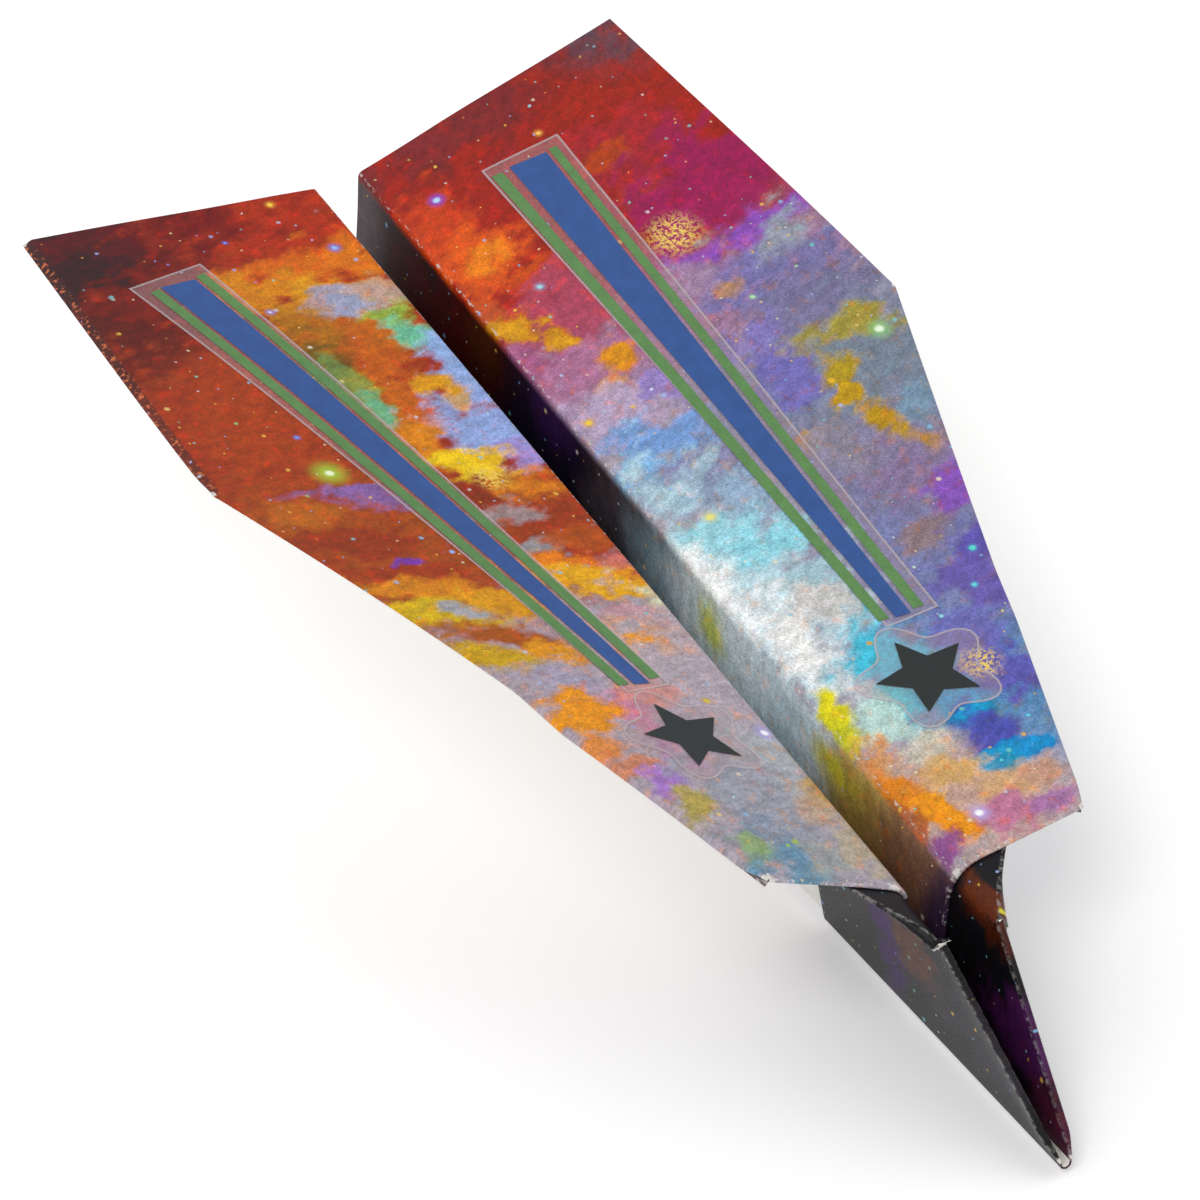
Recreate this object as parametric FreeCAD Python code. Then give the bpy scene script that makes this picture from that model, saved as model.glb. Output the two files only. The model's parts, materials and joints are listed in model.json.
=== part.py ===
import FreeCAD, Part
import math
import os

"""Folded printed paper plane: one A4 sheet with a pleated nose, and four clear stickers.

Frame: +X is port, the nose points to -Y, +Z is up. X = 0 is the fold plane of the keel,
Y = 0 is half-way between the wings' tail corners and the nose tip, Z = 0 is the lowest line
of the keel.

A place on the folded sheet is given as (x, y): x is the distance from the tail towards the
nose, and y is the distance from the keel crease, measured along the paper, first up the body
wall to the wing crease and then out along the wing. Every panel is a convex outline in (x, y)
that is laid on its side of the plane at the depth of its layer: layer 0 is the printed upper
sheet, and higher layers lie below the wings and outside the body walls.
"""

# Driving sizes, in millimetres and degrees
SHEET_LENGTH = 297.0
SHEET_WIDTH = 210.0
PAPER = 0.16
LAYER_GAP = 0.04
PLEAT_DEPTH = 31.5
TIP_BLUNTING = 1.8
CREASE_REACH_TAIL = 51.0
CREASE_TAPER = 6.0
CHANNEL_HALF_WIDTH = 4.1
KINK_FROM_TAIL = 80.5
FRONT_HALF_WIDTH = 57.5
STARBOARD_DIHEDRAL = 15.5
PORT_DIHEDRAL = 4.5
STARBOARD_TWIST = 19.5
PORT_TWIST = -11.0
UNTWISTED_STATION = 0.4
FOLDED_GAP = 32.0
KEEL_START = 0.6
KEEL_FOLD_RADIUS = 0.3
FLAP_RAMP = 10.0
FOLD_RELIEF = 0.3

STICKER_FILM = 0.10
STICKER_CLEARANCE = 0.10
STRIPE_LENGTH = 128.0
STRIPE_TAIL_WIDTH = 15.2
STRIPE_FRONT_WIDTH = 9.8
PORT_STRIPE_TAIL = (15.1, 74.4)
PORT_STRIPE_TURN = -5.8
STARBOARD_STRIPE_TAIL = (17.2, 86.3)
STARBOARD_STRIPE_TURN = -14.8
STAR_FILM_RADIUS = 10.6
STAR_FILM_WAVE = 1.9
STAR_FILM_POINTS = 40
PORT_STAR_CENTRE = (154.3, 55.4)
PORT_STAR_TURN = 180.0
STARBOARD_STAR_CENTRE = (153.6, 52.2)
STARBOARD_STAR_TURN = 90.0

# Sizes that follow from the folds
PITCH = PAPER + LAYER_GAP
HALF_WIDTH = SHEET_WIDTH / 2
FRONT_EDGE = SHEET_LENGTH - HALF_WIDTH
PLEAT_BACK = FRONT_EDGE - PLEAT_DEPTH
APEX = FRONT_EDGE + HALF_WIDTH - 2 * PLEAT_DEPTH
TIP = APEX - TIP_BLUNTING
TAPER_SLOPE = math.tan(math.radians(CREASE_TAPER))
WING_SWEEP = (HALF_WIDTH - CREASE_REACH_TAIL) * math.sin(math.radians(CREASE_TAPER))
NOSE_KINK = (APEX - CREASE_REACH_TAIL) / (1 - TAPER_SLOPE)
CORNER_SLOPE = (FRONT_HALF_WIDTH - HALF_WIDTH) / (FRONT_EDGE - KINK_FROM_TAIL)
PLEAT_LAYERS = {"upper": 1, "lower": 2}
NOSE_LAYERS = {"inner": 3, "outer": 4}
FLAP_PLEAT_LAYERS = {"upper": 5, "lower": 6}
FLAP_LAYER = 7
NOSE_FOLD_RADIUS = KEEL_START + NOSE_LAYERS["outer"] * PITCH - LAYER_GAP
KEEL_HEIGHT = NOSE_FOLD_RADIUS + PAPER
LONG_STEP = 20.0
SHORT_STEP = 6.0
ROUNDING = 1e-3

SIDES = {"port": 1, "starboard": -1}
DIHEDRAL = {"port": PORT_DIHEDRAL, "starboard": STARBOARD_DIHEDRAL}
TWIST = {"port": PORT_TWIST, "starboard": STARBOARD_TWIST}


def vector(x, y, z):
    return FreeCAD.Vector(x, y, z)


def frame_y(x):
    """Distance from the tail as a Y coordinate; the wings' tail corners are swept past the keel's tail."""
    return (TIP - WING_SWEEP) / 2 - x


def crease_reach(x):
    """Distance along the paper from the keel to the wing crease."""
    return CREASE_REACH_TAIL - x * TAPER_SLOPE


def outer_edge(x):
    """Distance along the paper from the keel to the wing's outer edge."""
    return HALF_WIDTH + max(0.0, x - KINK_FROM_TAIL) * CORNER_SLOPE


def crease_setback(layer):
    """Room beside the crease, so that a folded wing's layers clear the body's."""
    return (layer * PITCH + PAPER) / math.tan(math.radians(FOLDED_GAP / 2))


def keel_point(x):
    return vector(0, frame_y(x), KEEL_HEIGHT)


def crease_point(side, x):
    height = math.sqrt(crease_reach(x) ** 2 - CHANNEL_HALF_WIDTH ** 2)
    return vector(SIDES[side] * CHANNEL_HALF_WIDTH, frame_y(x), KEEL_HEIGHT + height)


def wing_corner(side, x, y):
    """Corner (x, y) of a wing, turned about the crease by the dihedral and the twist there."""
    start = crease_point(side, 0)
    along = (crease_point(side, FRONT_EDGE) - start).normalize()
    outward = vector(SIDES[side], 0, 0)
    outward = (outward - along * outward.dot(along)).normalize()
    upward = along.cross(outward) * SIDES[side]
    cos_taper = math.cos(math.radians(CREASE_TAPER))
    sin_taper = math.sin(math.radians(CREASE_TAPER))
    rise = y - CREASE_REACH_TAIL
    distance_along = x * cos_taper - rise * sin_taper
    distance_out = x * sin_taper + rise * cos_taper
    angle = DIHEDRAL[side] + TWIST[side] * (distance_along / FRONT_EDGE - UNTWISTED_STATION)
    angle = math.radians(angle)
    return start + along * distance_along + (outward * math.cos(angle) + upward * math.sin(angle)) * distance_out


def wing_point(side, x, y):
    """Point on a wing's printed face: two ruled patches that meet at the outer kink."""
    if x <= KINK_FROM_TAIL:
        first, last = 0.0, KINK_FROM_TAIL
    else:
        first, last = KINK_FROM_TAIL, FRONT_EDGE
    share = (x - first) / (last - first)
    inner = [crease_point(side, end) for end in (first, last)]
    outer = [wing_corner(side, end, outer_edge(end)) for end in (first, last)]
    root = inner[0] + (inner[1] - inner[0]) * share
    edge = outer[0] + (outer[1] - outer[0]) * share
    return root + (edge - root) * ((y - crease_reach(x)) / (outer_edge(x) - crease_reach(x)))


def wall_point(side, x, y):
    """Point on the inner face of a body wall."""
    leaning_at = min(x, NOSE_KINK)
    lean = (crease_point(side, leaning_at) - keel_point(leaning_at)).normalize()
    return keel_point(x) + lean * y


def wing_normal(side, x, y):
    """Unit normal that points down, away from the wing's printed face."""
    step = 0.01
    here = wing_point(side, x, y)
    normal = (wing_point(side, x + step, y) - here).cross(wing_point(side, x, y + step) - here)
    normal.normalize()
    return normal if normal.z < 0 else normal * -1


def wall_normal(side, x, y):
    """Unit normal that points outwards, away from the channel."""
    step = 0.01
    here = wall_point(side, x, y)
    normal = (wall_point(side, x + step, y) - here).cross(wall_point(side, x, y + step) - here)
    normal.normalize()
    return normal if normal.x * SIDES[side] > 0 else normal * -1


SURFACES = {"wing": (wing_point, wing_normal), "wall": (wall_point, wall_normal)}


def place(surface, side, x, y, depth):
    point, normal = SURFACES[surface]
    return point(side, x, y) + normal(side, x, y) * depth


def clip(outline, keep):
    """Part of a convex outline where the linear function keep(x, y) is not negative."""
    kept = []
    for start, end in zip(outline, outline[1:] + outline[:1]):
        at_start, at_end = keep(*start), keep(*end)
        if at_start >= 0:
            kept.append(start)
        if (at_start < 0) != (at_end < 0):
            share = at_start / (at_start - at_end)
            kept.append(tuple(a + (b - a) * share for a, b in zip(start, end)))
    return kept


def span_at(outline, x):
    """Lowest and highest y of a convex outline at x."""
    found = []
    for (x0, y0), (x1, y1) in zip(outline, outline[1:] + outline[:1]):
        if min(x0, x1) - ROUNDING <= x <= max(x0, x1) + ROUNDING:
            if abs(x1 - x0) < ROUNDING:
                found += [y0, y1]
            else:
                found.append(y0 + (y1 - y0) * (x - x0) / (x1 - x0))
    return min(found), max(found)


def stations(outline, step):
    """Cross lines (x, y_low, y_high) at the outline's corners, at the kink and every step."""
    breaks = sorted({round(x, 3) for x, _ in outline})
    if breaks[0] < KINK_FROM_TAIL < breaks[-1]:
        breaks = sorted(set(breaks) | {KINK_FROM_TAIL})
    lines = [breaks[0]]
    for end in breaks[1:]:
        count = max(1, math.ceil((end - lines[-1]) / step))
        start = lines[-1]
        lines += [start + (end - start) * i / count for i in range(1, count + 1)]
    return [(x, *span_at(outline, x)) for x in lines]


def ruled_face(a, b, c, d):
    """Face on the corners a, b, c, d in order, with corners that coincide left out."""
    corners = []
    for corner in (a, b, c, d):
        if all((corner - other).Length > 1e-5 for other in corners):
            corners.append(corner)
    if len(corners) < 3:
        return None
    if len(corners) == 4:
        out_of_plane = (b - a).cross(c - a).normalize().dot(d - a)
        if abs(out_of_plane) > 1e-7:
            return Part.makeRuledSurface(Part.LineSegment(a, b).toShape(), Part.LineSegment(d, c).toShape())
    return Part.Face(Part.makePolygon(corners + corners[:1]))


def solid_from(faces):
    """Closed solid sewn from its faces."""
    shell = Part.makeCompound([face for face in faces if face is not None])
    shell.sewShape()
    solid = Part.makeSolid(shell.Shells[0])
    return solid if solid.Volume > 0 else solid.reversed()


def panel(surface, side, outline, depth, thickness=PAPER, step=LONG_STEP):
    """Solid of one paper panel or sticker; depth is a number or a function of x."""
    at_depth = depth if callable(depth) else lambda x: depth
    rings = []
    for x, low, high in stations(outline, step):
        near, far = at_depth(x), at_depth(x) + thickness
        rings.append([place(surface, side, x, y, d) for y, d in ((low, near), (high, near), (high, far), (low, far))])
    faces = [ruled_face(*rings[0]), ruled_face(*rings[-1])]
    for ring, following in zip(rings, rings[1:]):
        for i in range(4):
            j = (i + 1) % 4
            faces.append(ruled_face(ring[i], ring[j], following[j], following[i]))
    return solid_from(faces)


def wall_part(outline, layer):
    """Part of a layer between the keel and the wing crease."""
    above_keel = clip(outline, lambda x, y: y - KEEL_START)
    return clip(above_keel, lambda x, y: crease_reach(x) - crease_setback(layer) - y)


def wing_part(outline, layer):
    """Part of a layer between the wing crease and the folded outer edge."""
    beyond_crease = clip(outline, lambda x, y: y - crease_reach(x) - crease_setback(layer))
    relief = FOLD_RELIEF if layer else 0.0
    fold_line = lambda x, y: HALF_WIDTH + (x - KINK_FROM_TAIL) * CORNER_SLOPE - relief - y
    return clip(beyond_crease, fold_line)


def mirrored_at_corner_fold(outline):
    """Outline turned over about the line along which the front corner folds under."""
    length = math.hypot(1.0, CORNER_SLOPE)
    ux, uy = 1.0 / length, CORNER_SLOPE / length
    turned = []
    for x, y in outline:
        dx, dy = x - KINK_FROM_TAIL, y - HALF_WIDTH
        along = dx * ux + dy * uy
        turned.append((KINK_FROM_TAIL + 2 * along * ux - dx, HALF_WIDTH + 2 * along * uy - dy))
    return turned


def flap_depth(x, ramp_end):
    """The corner flap lies on the wing behind the pleat, and below all its layers at the pleat."""
    share = (x - ramp_end + FLAP_RAMP) / FLAP_RAMP
    return PITCH * (1 + (FLAP_LAYER - 1) * min(1.0, max(0.0, share)))


def stripe_outline(tail, turn):
    """Tapered sticker, from the middle of its tail end, turned from the sheet's x direction."""
    c, s = math.cos(math.radians(turn)), math.sin(math.radians(turn))
    corners = ((0, -STRIPE_TAIL_WIDTH / 2), (0, STRIPE_TAIL_WIDTH / 2),
               (STRIPE_LENGTH, STRIPE_FRONT_WIDTH / 2), (STRIPE_LENGTH, -STRIPE_FRONT_WIDTH / 2))
    return [(tail[0] + along * c - across * s, tail[1] + along * s + across * c) for along, across in corners]


def star_film(side, centre, turn):
    """Clear film with a wavy five-lobed outline, as a fan of facets that follows the wing."""
    depth = -STICKER_CLEARANCE - STICKER_FILM
    rim = []
    for i in range(STAR_FILM_POINTS):
        angle = 2 * math.pi * i / STAR_FILM_POINTS
        radius = STAR_FILM_RADIUS + STAR_FILM_WAVE * math.cos(5 * angle)
        direction = angle + math.radians(turn)
        rim.append((centre[0] + radius * math.cos(direction), centre[1] + radius * math.sin(direction)))
    top = [place("wing", side, x, y, depth) for x, y in rim]
    bottom = [place("wing", side, x, y, depth + STICKER_FILM) for x, y in rim]
    top_middle = place("wing", side, *centre, depth)
    bottom_middle = place("wing", side, *centre, depth + STICKER_FILM)
    faces = []
    for i in range(STAR_FILM_POINTS):
        j = (i + 1) % STAR_FILM_POINTS
        faces.append(ruled_face(top_middle, top[i], top[j], top_middle))
        faces.append(ruled_face(bottom_middle, bottom[j], bottom[i], bottom_middle))
        faces.append(ruled_face(top[i], bottom[i], bottom[j], top[j]))
    return solid_from(faces)


def keel_fold(radius, start, end):
    """Half-round strip of paper that joins the two body walls under the keel."""
    arcs = []
    for r in (radius, radius + PAPER):
        left, low, right = vector(-r, 0, 0), vector(0, 0, -r), vector(r, 0, 0)
        arcs.append(Part.Arc(left, low, right).toShape())
    caps = [Part.makeLine(vector(s * radius, 0, 0), vector(s * (radius + PAPER), 0, 0)) for s in (-1, 1)]
    section = Part.Face(Part.Wire(Part.__sortEdges__([arcs[0], caps[1], arcs[1], caps[0]])))
    section.translate(vector(0, frame_y(start), KEEL_HEIGHT))
    return section.extrude(vector(0, start - end, 0))


def side_nodes(side):
    """All panels and stickers of one side of the plane."""
    upper_sheet = [(0, 0), (0, HALF_WIDTH), (KINK_FROM_TAIL, HALF_WIDTH),
                   (FRONT_EDGE, FRONT_HALF_WIDTH), (FRONT_EDGE, 0)]
    pleat_edge = PLEAT_BACK - FRONT_EDGE + HALF_WIDTH
    pleat = [(PLEAT_BACK, 0), (PLEAT_BACK, pleat_edge), (FRONT_EDGE, HALF_WIDTH), (FRONT_EDGE, 0)]
    nose = [(PLEAT_BACK, 0), (PLEAT_BACK, APEX - PLEAT_BACK), (TIP, TIP_BLUNTING), (TIP, 0)]
    nodes = {
        "body_wall": panel("wall", side, wall_part(upper_sheet, 0), 0.0),
        "wing_panel": panel("wing", side, wing_part(upper_sheet, 0), 0.0),
    }
    for name, layer in PLEAT_LAYERS.items():
        nodes["pleat_wall_" + name] = panel("wall", side, wall_part(pleat, layer), layer * PITCH)
        nodes["wing_pleat_" + name] = panel("wing", side, wing_part(pleat, layer), layer * PITCH)
    for name, layer in NOSE_LAYERS.items():
        nodes["nose_wall_" + name] = panel("wall", side, wall_part(nose, layer), layer * PITCH)
        under_wing = wing_part(nose, layer)
        nodes["wing_nose_" + name] = panel("wing", side, under_wing, layer * PITCH, step=SHORT_STEP)

    beyond_fold = lambda x, y: y - HALF_WIDTH - (x - KINK_FROM_TAIL) * CORNER_SLOPE
    pleat_corner = mirrored_at_corner_fold(clip(pleat, beyond_fold))
    ramp_end = min(x for x, _ in pleat_corner) - SHORT_STEP
    corner = [(KINK_FROM_TAIL, HALF_WIDTH), (FRONT_EDGE, HALF_WIDTH), (FRONT_EDGE, FRONT_HALF_WIDTH)]
    flap = wing_part(mirrored_at_corner_fold(corner), FLAP_LAYER)
    nodes["corner_flap"] = panel("wing", side, flap, lambda x: flap_depth(x, ramp_end), step=SHORT_STEP)
    for name, layer in FLAP_PLEAT_LAYERS.items():
        under_wing = wing_part(pleat_corner, layer)
        nodes["flap_pleat_" + name] = panel("wing", side, under_wing, layer * PITCH, step=SHORT_STEP)

    tail, turn = {"port": (PORT_STRIPE_TAIL, PORT_STRIPE_TURN),
                  "starboard": (STARBOARD_STRIPE_TAIL, STARBOARD_STRIPE_TURN)}[side]
    film_depth = -STICKER_CLEARANCE - STICKER_FILM
    outline = stripe_outline(tail, turn)
    nodes["stripe_sticker"] = panel("wing", side, outline, film_depth, STICKER_FILM, SHORT_STEP)
    centre, turn = {"port": (PORT_STAR_CENTRE, PORT_STAR_TURN),
                    "starboard": (STARBOARD_STAR_CENTRE, STARBOARD_STAR_TURN)}[side]
    nodes["star_sticker"] = star_film(side, centre, turn)
    return {side + "_" + name: shape for name, shape in nodes.items()}


def build():
    os.makedirs("parts", exist_ok=True)
    nodes = {
        "keel_fold": keel_fold(KEEL_FOLD_RADIUS, 0, FRONT_EDGE),
        "nose_keel_fold": keel_fold(NOSE_FOLD_RADIUS, PLEAT_BACK, TIP),
    }
    for side in SIDES:
        nodes.update(side_nodes(side))
    for name, shape in nodes.items():
        shape.exportStep("parts/" + name + ".step")
        print(name, "valid" if shape.isValid() else "NOT VALID", round(shape.Volume, 2))
    for side in SIDES:
        tail, front = crease_point(side, 0), crease_point(side, FRONT_EDGE)
        print(side, "crease from", [round(c, 4) for c in tail], "to", [round(c, 4) for c in front])


build()
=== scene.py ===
"""Looks of a folded printed paper plane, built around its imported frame.

Every paper piece starts as a flat grid on the sheet, in millimetres: x from the tail
towards the nose, y from the keel crease (port positive).  It is cut to its outline while
flat, then folded to its place and given the paper's thickness.
"""
from __future__ import annotations

import json
import logging
import math
from dataclasses import dataclass, field
from enum import Enum
from typing import Any, Callable, Sequence

import bpy
import numpy as np
from mathutils import Matrix, Vector

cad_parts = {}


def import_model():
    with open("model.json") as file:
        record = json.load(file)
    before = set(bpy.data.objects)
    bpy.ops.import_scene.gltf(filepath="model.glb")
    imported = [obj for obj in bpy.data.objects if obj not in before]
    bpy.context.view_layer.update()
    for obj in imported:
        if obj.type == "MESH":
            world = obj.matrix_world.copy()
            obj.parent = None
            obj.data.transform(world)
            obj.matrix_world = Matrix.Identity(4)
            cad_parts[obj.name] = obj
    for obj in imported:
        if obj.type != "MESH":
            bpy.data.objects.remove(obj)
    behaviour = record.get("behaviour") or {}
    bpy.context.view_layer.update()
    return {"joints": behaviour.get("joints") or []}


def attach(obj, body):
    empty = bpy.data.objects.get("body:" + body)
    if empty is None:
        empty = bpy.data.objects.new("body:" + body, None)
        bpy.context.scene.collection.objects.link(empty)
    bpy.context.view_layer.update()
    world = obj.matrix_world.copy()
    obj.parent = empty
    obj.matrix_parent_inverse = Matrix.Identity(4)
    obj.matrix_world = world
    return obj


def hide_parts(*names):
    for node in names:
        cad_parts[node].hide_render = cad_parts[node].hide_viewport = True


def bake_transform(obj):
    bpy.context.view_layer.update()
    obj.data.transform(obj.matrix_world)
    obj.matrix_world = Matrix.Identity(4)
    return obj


LOG = logging.getLogger("paper_plane")
MM = 0.001
PLACE = "sheet_place"
STICKER_PLACE = "sticker_place"
NOSE_PRINT = 205.0  # the dark nose's print starts this far from the tail
FLAT = 1000.0  # scale that makes a pattern's third coordinate count for nothing
SMOOTH_ANGLE = math.radians(40)
GRAIN_HEIGHT, FIBRE_HEIGHT, FROST_HEIGHT = 0.00006, 0.00004, 0.00003
Outline = Sequence[tuple[float, float]]
DepthRule = Callable[[np.ndarray, np.ndarray], np.ndarray]
Rounded = tuple[np.ndarray, np.ndarray, np.ndarray]
Material = bpy.types.Material


class Side(Enum):
    """A side of the plane, with the sign of its y on the sheet."""

    PORT = 1
    STARBOARD = -1

    @property
    def label(self) -> str:
        """Name used in bodies and pieces."""
        return self.name.lower()


class Layer(Enum):
    """Layers of paper, counted from the printed upper sheet down or outwards."""

    UPPER_SHEET = 0
    PLEAT_UPPER = 1
    PLEAT_LOWER = 2
    NOSE_INNER = 3
    NOSE_OUTER = 4
    FLAP_PLEAT_UPPER = 5
    FLAP_PLEAT_LOWER = 6
    CORNER_FLAP = 7

    @property
    def printed_above(self) -> bool:
        """Whether the printed face is the one towards the upper sheet."""
        return self in (Layer.UPPER_SHEET, Layer.PLEAT_UPPER, Layer.NOSE_INNER, Layer.FLAP_PLEAT_UPPER)


# --------------------------------------------------------------------------- the folded sheet


@dataclass
class FoldedSheet:
    """Where each place on the flat sheet lies once the plane is folded, in millimetres."""

    length: float = 297.0
    width: float = 210.0
    paper: float = 0.16
    pitch: float = 0.20
    pleat_depth: float = 31.5
    tip_blunting: float = 1.8
    reach_at_tail: float = 51.0
    taper: float = math.radians(6.0)
    kink: float = 80.5
    front_half_width: float = 57.5
    untwisted_station: float = 0.4
    dihedral: dict[Side, float] = field(default_factory=lambda: {Side.PORT: 4.5, Side.STARBOARD: 15.5})
    twist: dict[Side, float] = field(default_factory=lambda: {Side.PORT: -11.0, Side.STARBOARD: 19.5})
    keel_rounding: float = 1.2
    opening_start: float = 95.0
    opening_end: float = 188.0
    crease_widths: dict[Side, tuple[float, float]] = field(
        default_factory=lambda: {Side.PORT: (0.9, 4.6), Side.STARBOARD: (0.8, 0.9)}
    )
    widening: float = 2.2
    flap_ramp: float = 10.0
    flap_lead: float = 6.0
    wave_height: float = 0.28
    lip: float = 0.9
    lip_reach: float = 5.0
    edge_band: float = 1.4
    edge_bend: float = 0.55
    keel_height: float = 0.0
    tail_y: float = 0.0
    crease_tail: dict[Side, np.ndarray] = field(default_factory=dict)
    crease_along: dict[Side, np.ndarray] = field(default_factory=dict)

    def __post_init__(self) -> None:
        """Works out the sizes that follow from the folds."""
        self.half = self.width / 2
        self.front = self.length - self.half
        self.pleat_back = self.front - self.pleat_depth
        self.apex = self.front + self.half - 2 * self.pleat_depth
        self.tip = self.apex - self.tip_blunting
        self.slope = math.tan(self.taper)
        self.nose_kink = (self.apex - self.reach_at_tail) / (1 - self.slope)
        self.corner_slope = (self.front_half_width - self.half) / (self.front - self.kink)

    def settle(self, joints: Sequence[dict]) -> None:
        """Takes the creases' places from the frame's joints.

        Args:
            joints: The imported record's joints.
        """
        by_name = {joint["name"]: joint for joint in joints}
        self.keel_height = by_name["keel_crease"]["pos_m"][2] / MM
        for side in Side:
            joint = by_name[f"{side.label}_wing_crease"]
            along = np.array(joint["axis"], float)
            self.crease_along[side] = along if along[1] < 0 else -along
            self.crease_tail[side] = np.array(joint["pos_m"], float) / MM
        self.tail_y = self.crease_tail[Side.PORT][1]

    def reach(self, x: Any) -> Any:
        """Distance from the keel to the wing crease, along the paper."""
        return self.reach_at_tail - x * self.slope

    def rounding(self, side: Side, x: np.ndarray, depth: np.ndarray) -> np.ndarray:
        """Half-width of the rounded strip along the wing crease.

        Args:
            side: The side of the plane.
            x: Distance from the tail.
            depth: Depth of the layer, because inner layers bend wider.

        Returns:
            The half-widths.
        """
        least, growth = self.crease_widths[side]
        base = least + growth * ease(x, self.opening_start, self.opening_end)
        return base + self.widening * depth

    def keel_point(self, x: np.ndarray) -> np.ndarray:
        """Points on the keel crease."""
        return np.stack([0 * x, self.tail_y - x, 0 * x + self.keel_height], -1)

    def crease_point(self, side: Side, x: np.ndarray) -> np.ndarray:
        """Points on the wing crease."""
        return self.crease_tail[side] + self.crease_along[side] * (x / math.cos(self.taper))[:, None]

    def square_to_crease(self, side: Side, direction: np.ndarray) -> np.ndarray:
        """Part of a direction at right angles to the wing crease, with length 1.

        Args:
            side: The side of the plane.
            direction: The direction.

        Returns:
            The unit vector.
        """
        along = self.crease_along[side]
        square = direction - along * direction.dot(along)
        return square / np.linalg.norm(square)

    def wall(self, side: Side, x: np.ndarray, y: np.ndarray) -> np.ndarray:
        """Points on the body wall's inner face, y along the paper from the keel.

        Args:
            side: The side of the plane.
            x: Distances from the tail.
            y: Distances from the keel along the paper, positive.

        Returns:
            The points, in millimetres.
        """
        at = np.minimum(x, self.nose_kink)
        lean = (self.crease_point(side, at) - self.keel_point(at)) / self.reach(at)[:, None]
        return self.keel_point(x) + lean * y[:, None]

    def wing(self, side: Side, x: np.ndarray, y: np.ndarray) -> np.ndarray:
        """Points on the wing's printed face, turned about the crease by dihedral and twist.

        Args:
            side: The side of the plane.
            x: Distances from the tail.
            y: Distances from the keel along the paper, positive.

        Returns:
            The points, in millimetres.
        """
        along = self.crease_along[side]
        outward = self.square_to_crease(side, np.array([side.value, 0.0, 0.0]))
        upward = np.cross(along, outward) * side.value
        rise = y - self.reach_at_tail
        distance_along = x * math.cos(self.taper) - rise * math.sin(self.taper)
        distance_out = x * math.sin(self.taper) + rise * math.cos(self.taper)
        angle = self.dihedral[side] + self.twist[side] * (distance_along / self.front - self.untwisted_station)
        angle = np.radians(angle)[:, None]
        turned = outward * np.cos(angle) + upward * np.sin(angle)
        return self.crease_tail[side] + along * distance_along[:, None] + turned * distance_out[:, None]

    def _one_side(self, side: Side, x: np.ndarray, y: np.ndarray, depth: np.ndarray) -> np.ndarray:
        """Folded points of one side, with y positive from the keel.

        Args:
            side: The side of the plane.
            x: Distances from the tail.
            y: Distances from the keel.
            depth: Depths under the printed face of the upper sheet.

        Returns:
            The points, in millimetres.
        """
        reach = self.reach(x)
        radius = self.rounding(side, x, depth)
        beyond_kink = x > self.nose_kink
        across = np.where(beyond_kink, -1.0, np.clip((y - reach) / radius, -1.0, 1.0))
        on_wall = self.wall(side, x, y)
        on_wing = self.wing(side, x, y)
        before = self.wall(side, x, reach - radius)
        after = self.wing(side, x, reach + radius)
        t = ((across + 1) / 2)[:, None]
        corner = self.crease_point(side, x)
        bend = (1 - t) ** 2 * before + 2 * t * (1 - t) * corner + t * t * after
        return np.where((across <= -1.0)[:, None], on_wall, np.where((across >= 1.0)[:, None], on_wing, bend))

    def surface(self, x: np.ndarray, y: np.ndarray, depth: np.ndarray) -> np.ndarray:
        """Points of the upper sheet's printed face, with the rounding that a layer at depth has.

        Args:
            x: Distances from the tail.
            y: Distances from the keel.
            depth: Depths under the printed face of the upper sheet.

        Returns:
            The points, in millimetres.
        """
        points = np.zeros((len(x), 3))
        for side in Side:
            mine = (y * side.value > 0) | ((y == 0) & (side is Side.PORT))
            if mine.any():
                points[mine] = self._one_side(side, x[mine], np.abs(y[mine]), depth[mine])
        near_keel = np.abs(y) < self.keel_rounding
        if near_keel.any():
            at, share = x[near_keel], (y[near_keel] / self.keel_rounding + 1) / 2
            full = np.full_like(at, self.keel_rounding)
            share = share[:, None]
            starboard, port = self.wall(Side.STARBOARD, at, full), self.wall(Side.PORT, at, full)
            points[near_keel] = (
                (1 - share) ** 2 * starboard + 2 * share * (1 - share) * self.keel_point(at) + share**2 * port
            )
        return points

    def wave(self, x: np.ndarray, y: np.ndarray) -> np.ndarray:
        """Gentle unevenness of the panels, towards the printed face; none at the creases.

        Args:
            x: Distances from the tail.
            y: Distances from the keel.

        Returns:
            Heights over the flat panel, in millimetres.
        """
        out = np.abs(y) - self.reach(x)
        side = np.sign(y)
        on_wing = ease(out, 6.0, 26.0)
        on_wall = ease(-out, 6.0, 18.0) * ease(np.abs(y), 3.0, 16.0) * (1 - ease(x, 168.0, 192.0))
        long_wave = np.sin(x / 41.0 + 0.8 * side + 0.4) + 0.6 * np.sin(x / 17.0 + out / 23.0 + 2.1 * side)
        cross_wave = 0.5 * np.sin(out / 13.0 + x / 60.0 + side)
        return self.wave_height * (on_wing * (long_wave + cross_wave) + 0.6 * on_wall * long_wave)

    def edge_curl(self, x: np.ndarray, y: np.ndarray) -> np.ndarray:
        """How far the narrow band outside the starboard edge crease is bent down.

        Args:
            x: Distances from the tail.
            y: Distances from the keel.

        Returns:
            Depths under the flat panel, in millimetres.
        """
        past = np.abs(y) - (self.half - self.edge_band)
        bent = np.clip(past, 0, None) * math.tan(self.edge_bend)
        return np.where((y < 0) & (x < self.kink + 3.0), bent * (1 - ease(x, self.kink - 8.0, self.kink + 2.0)), 0.0)

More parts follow.
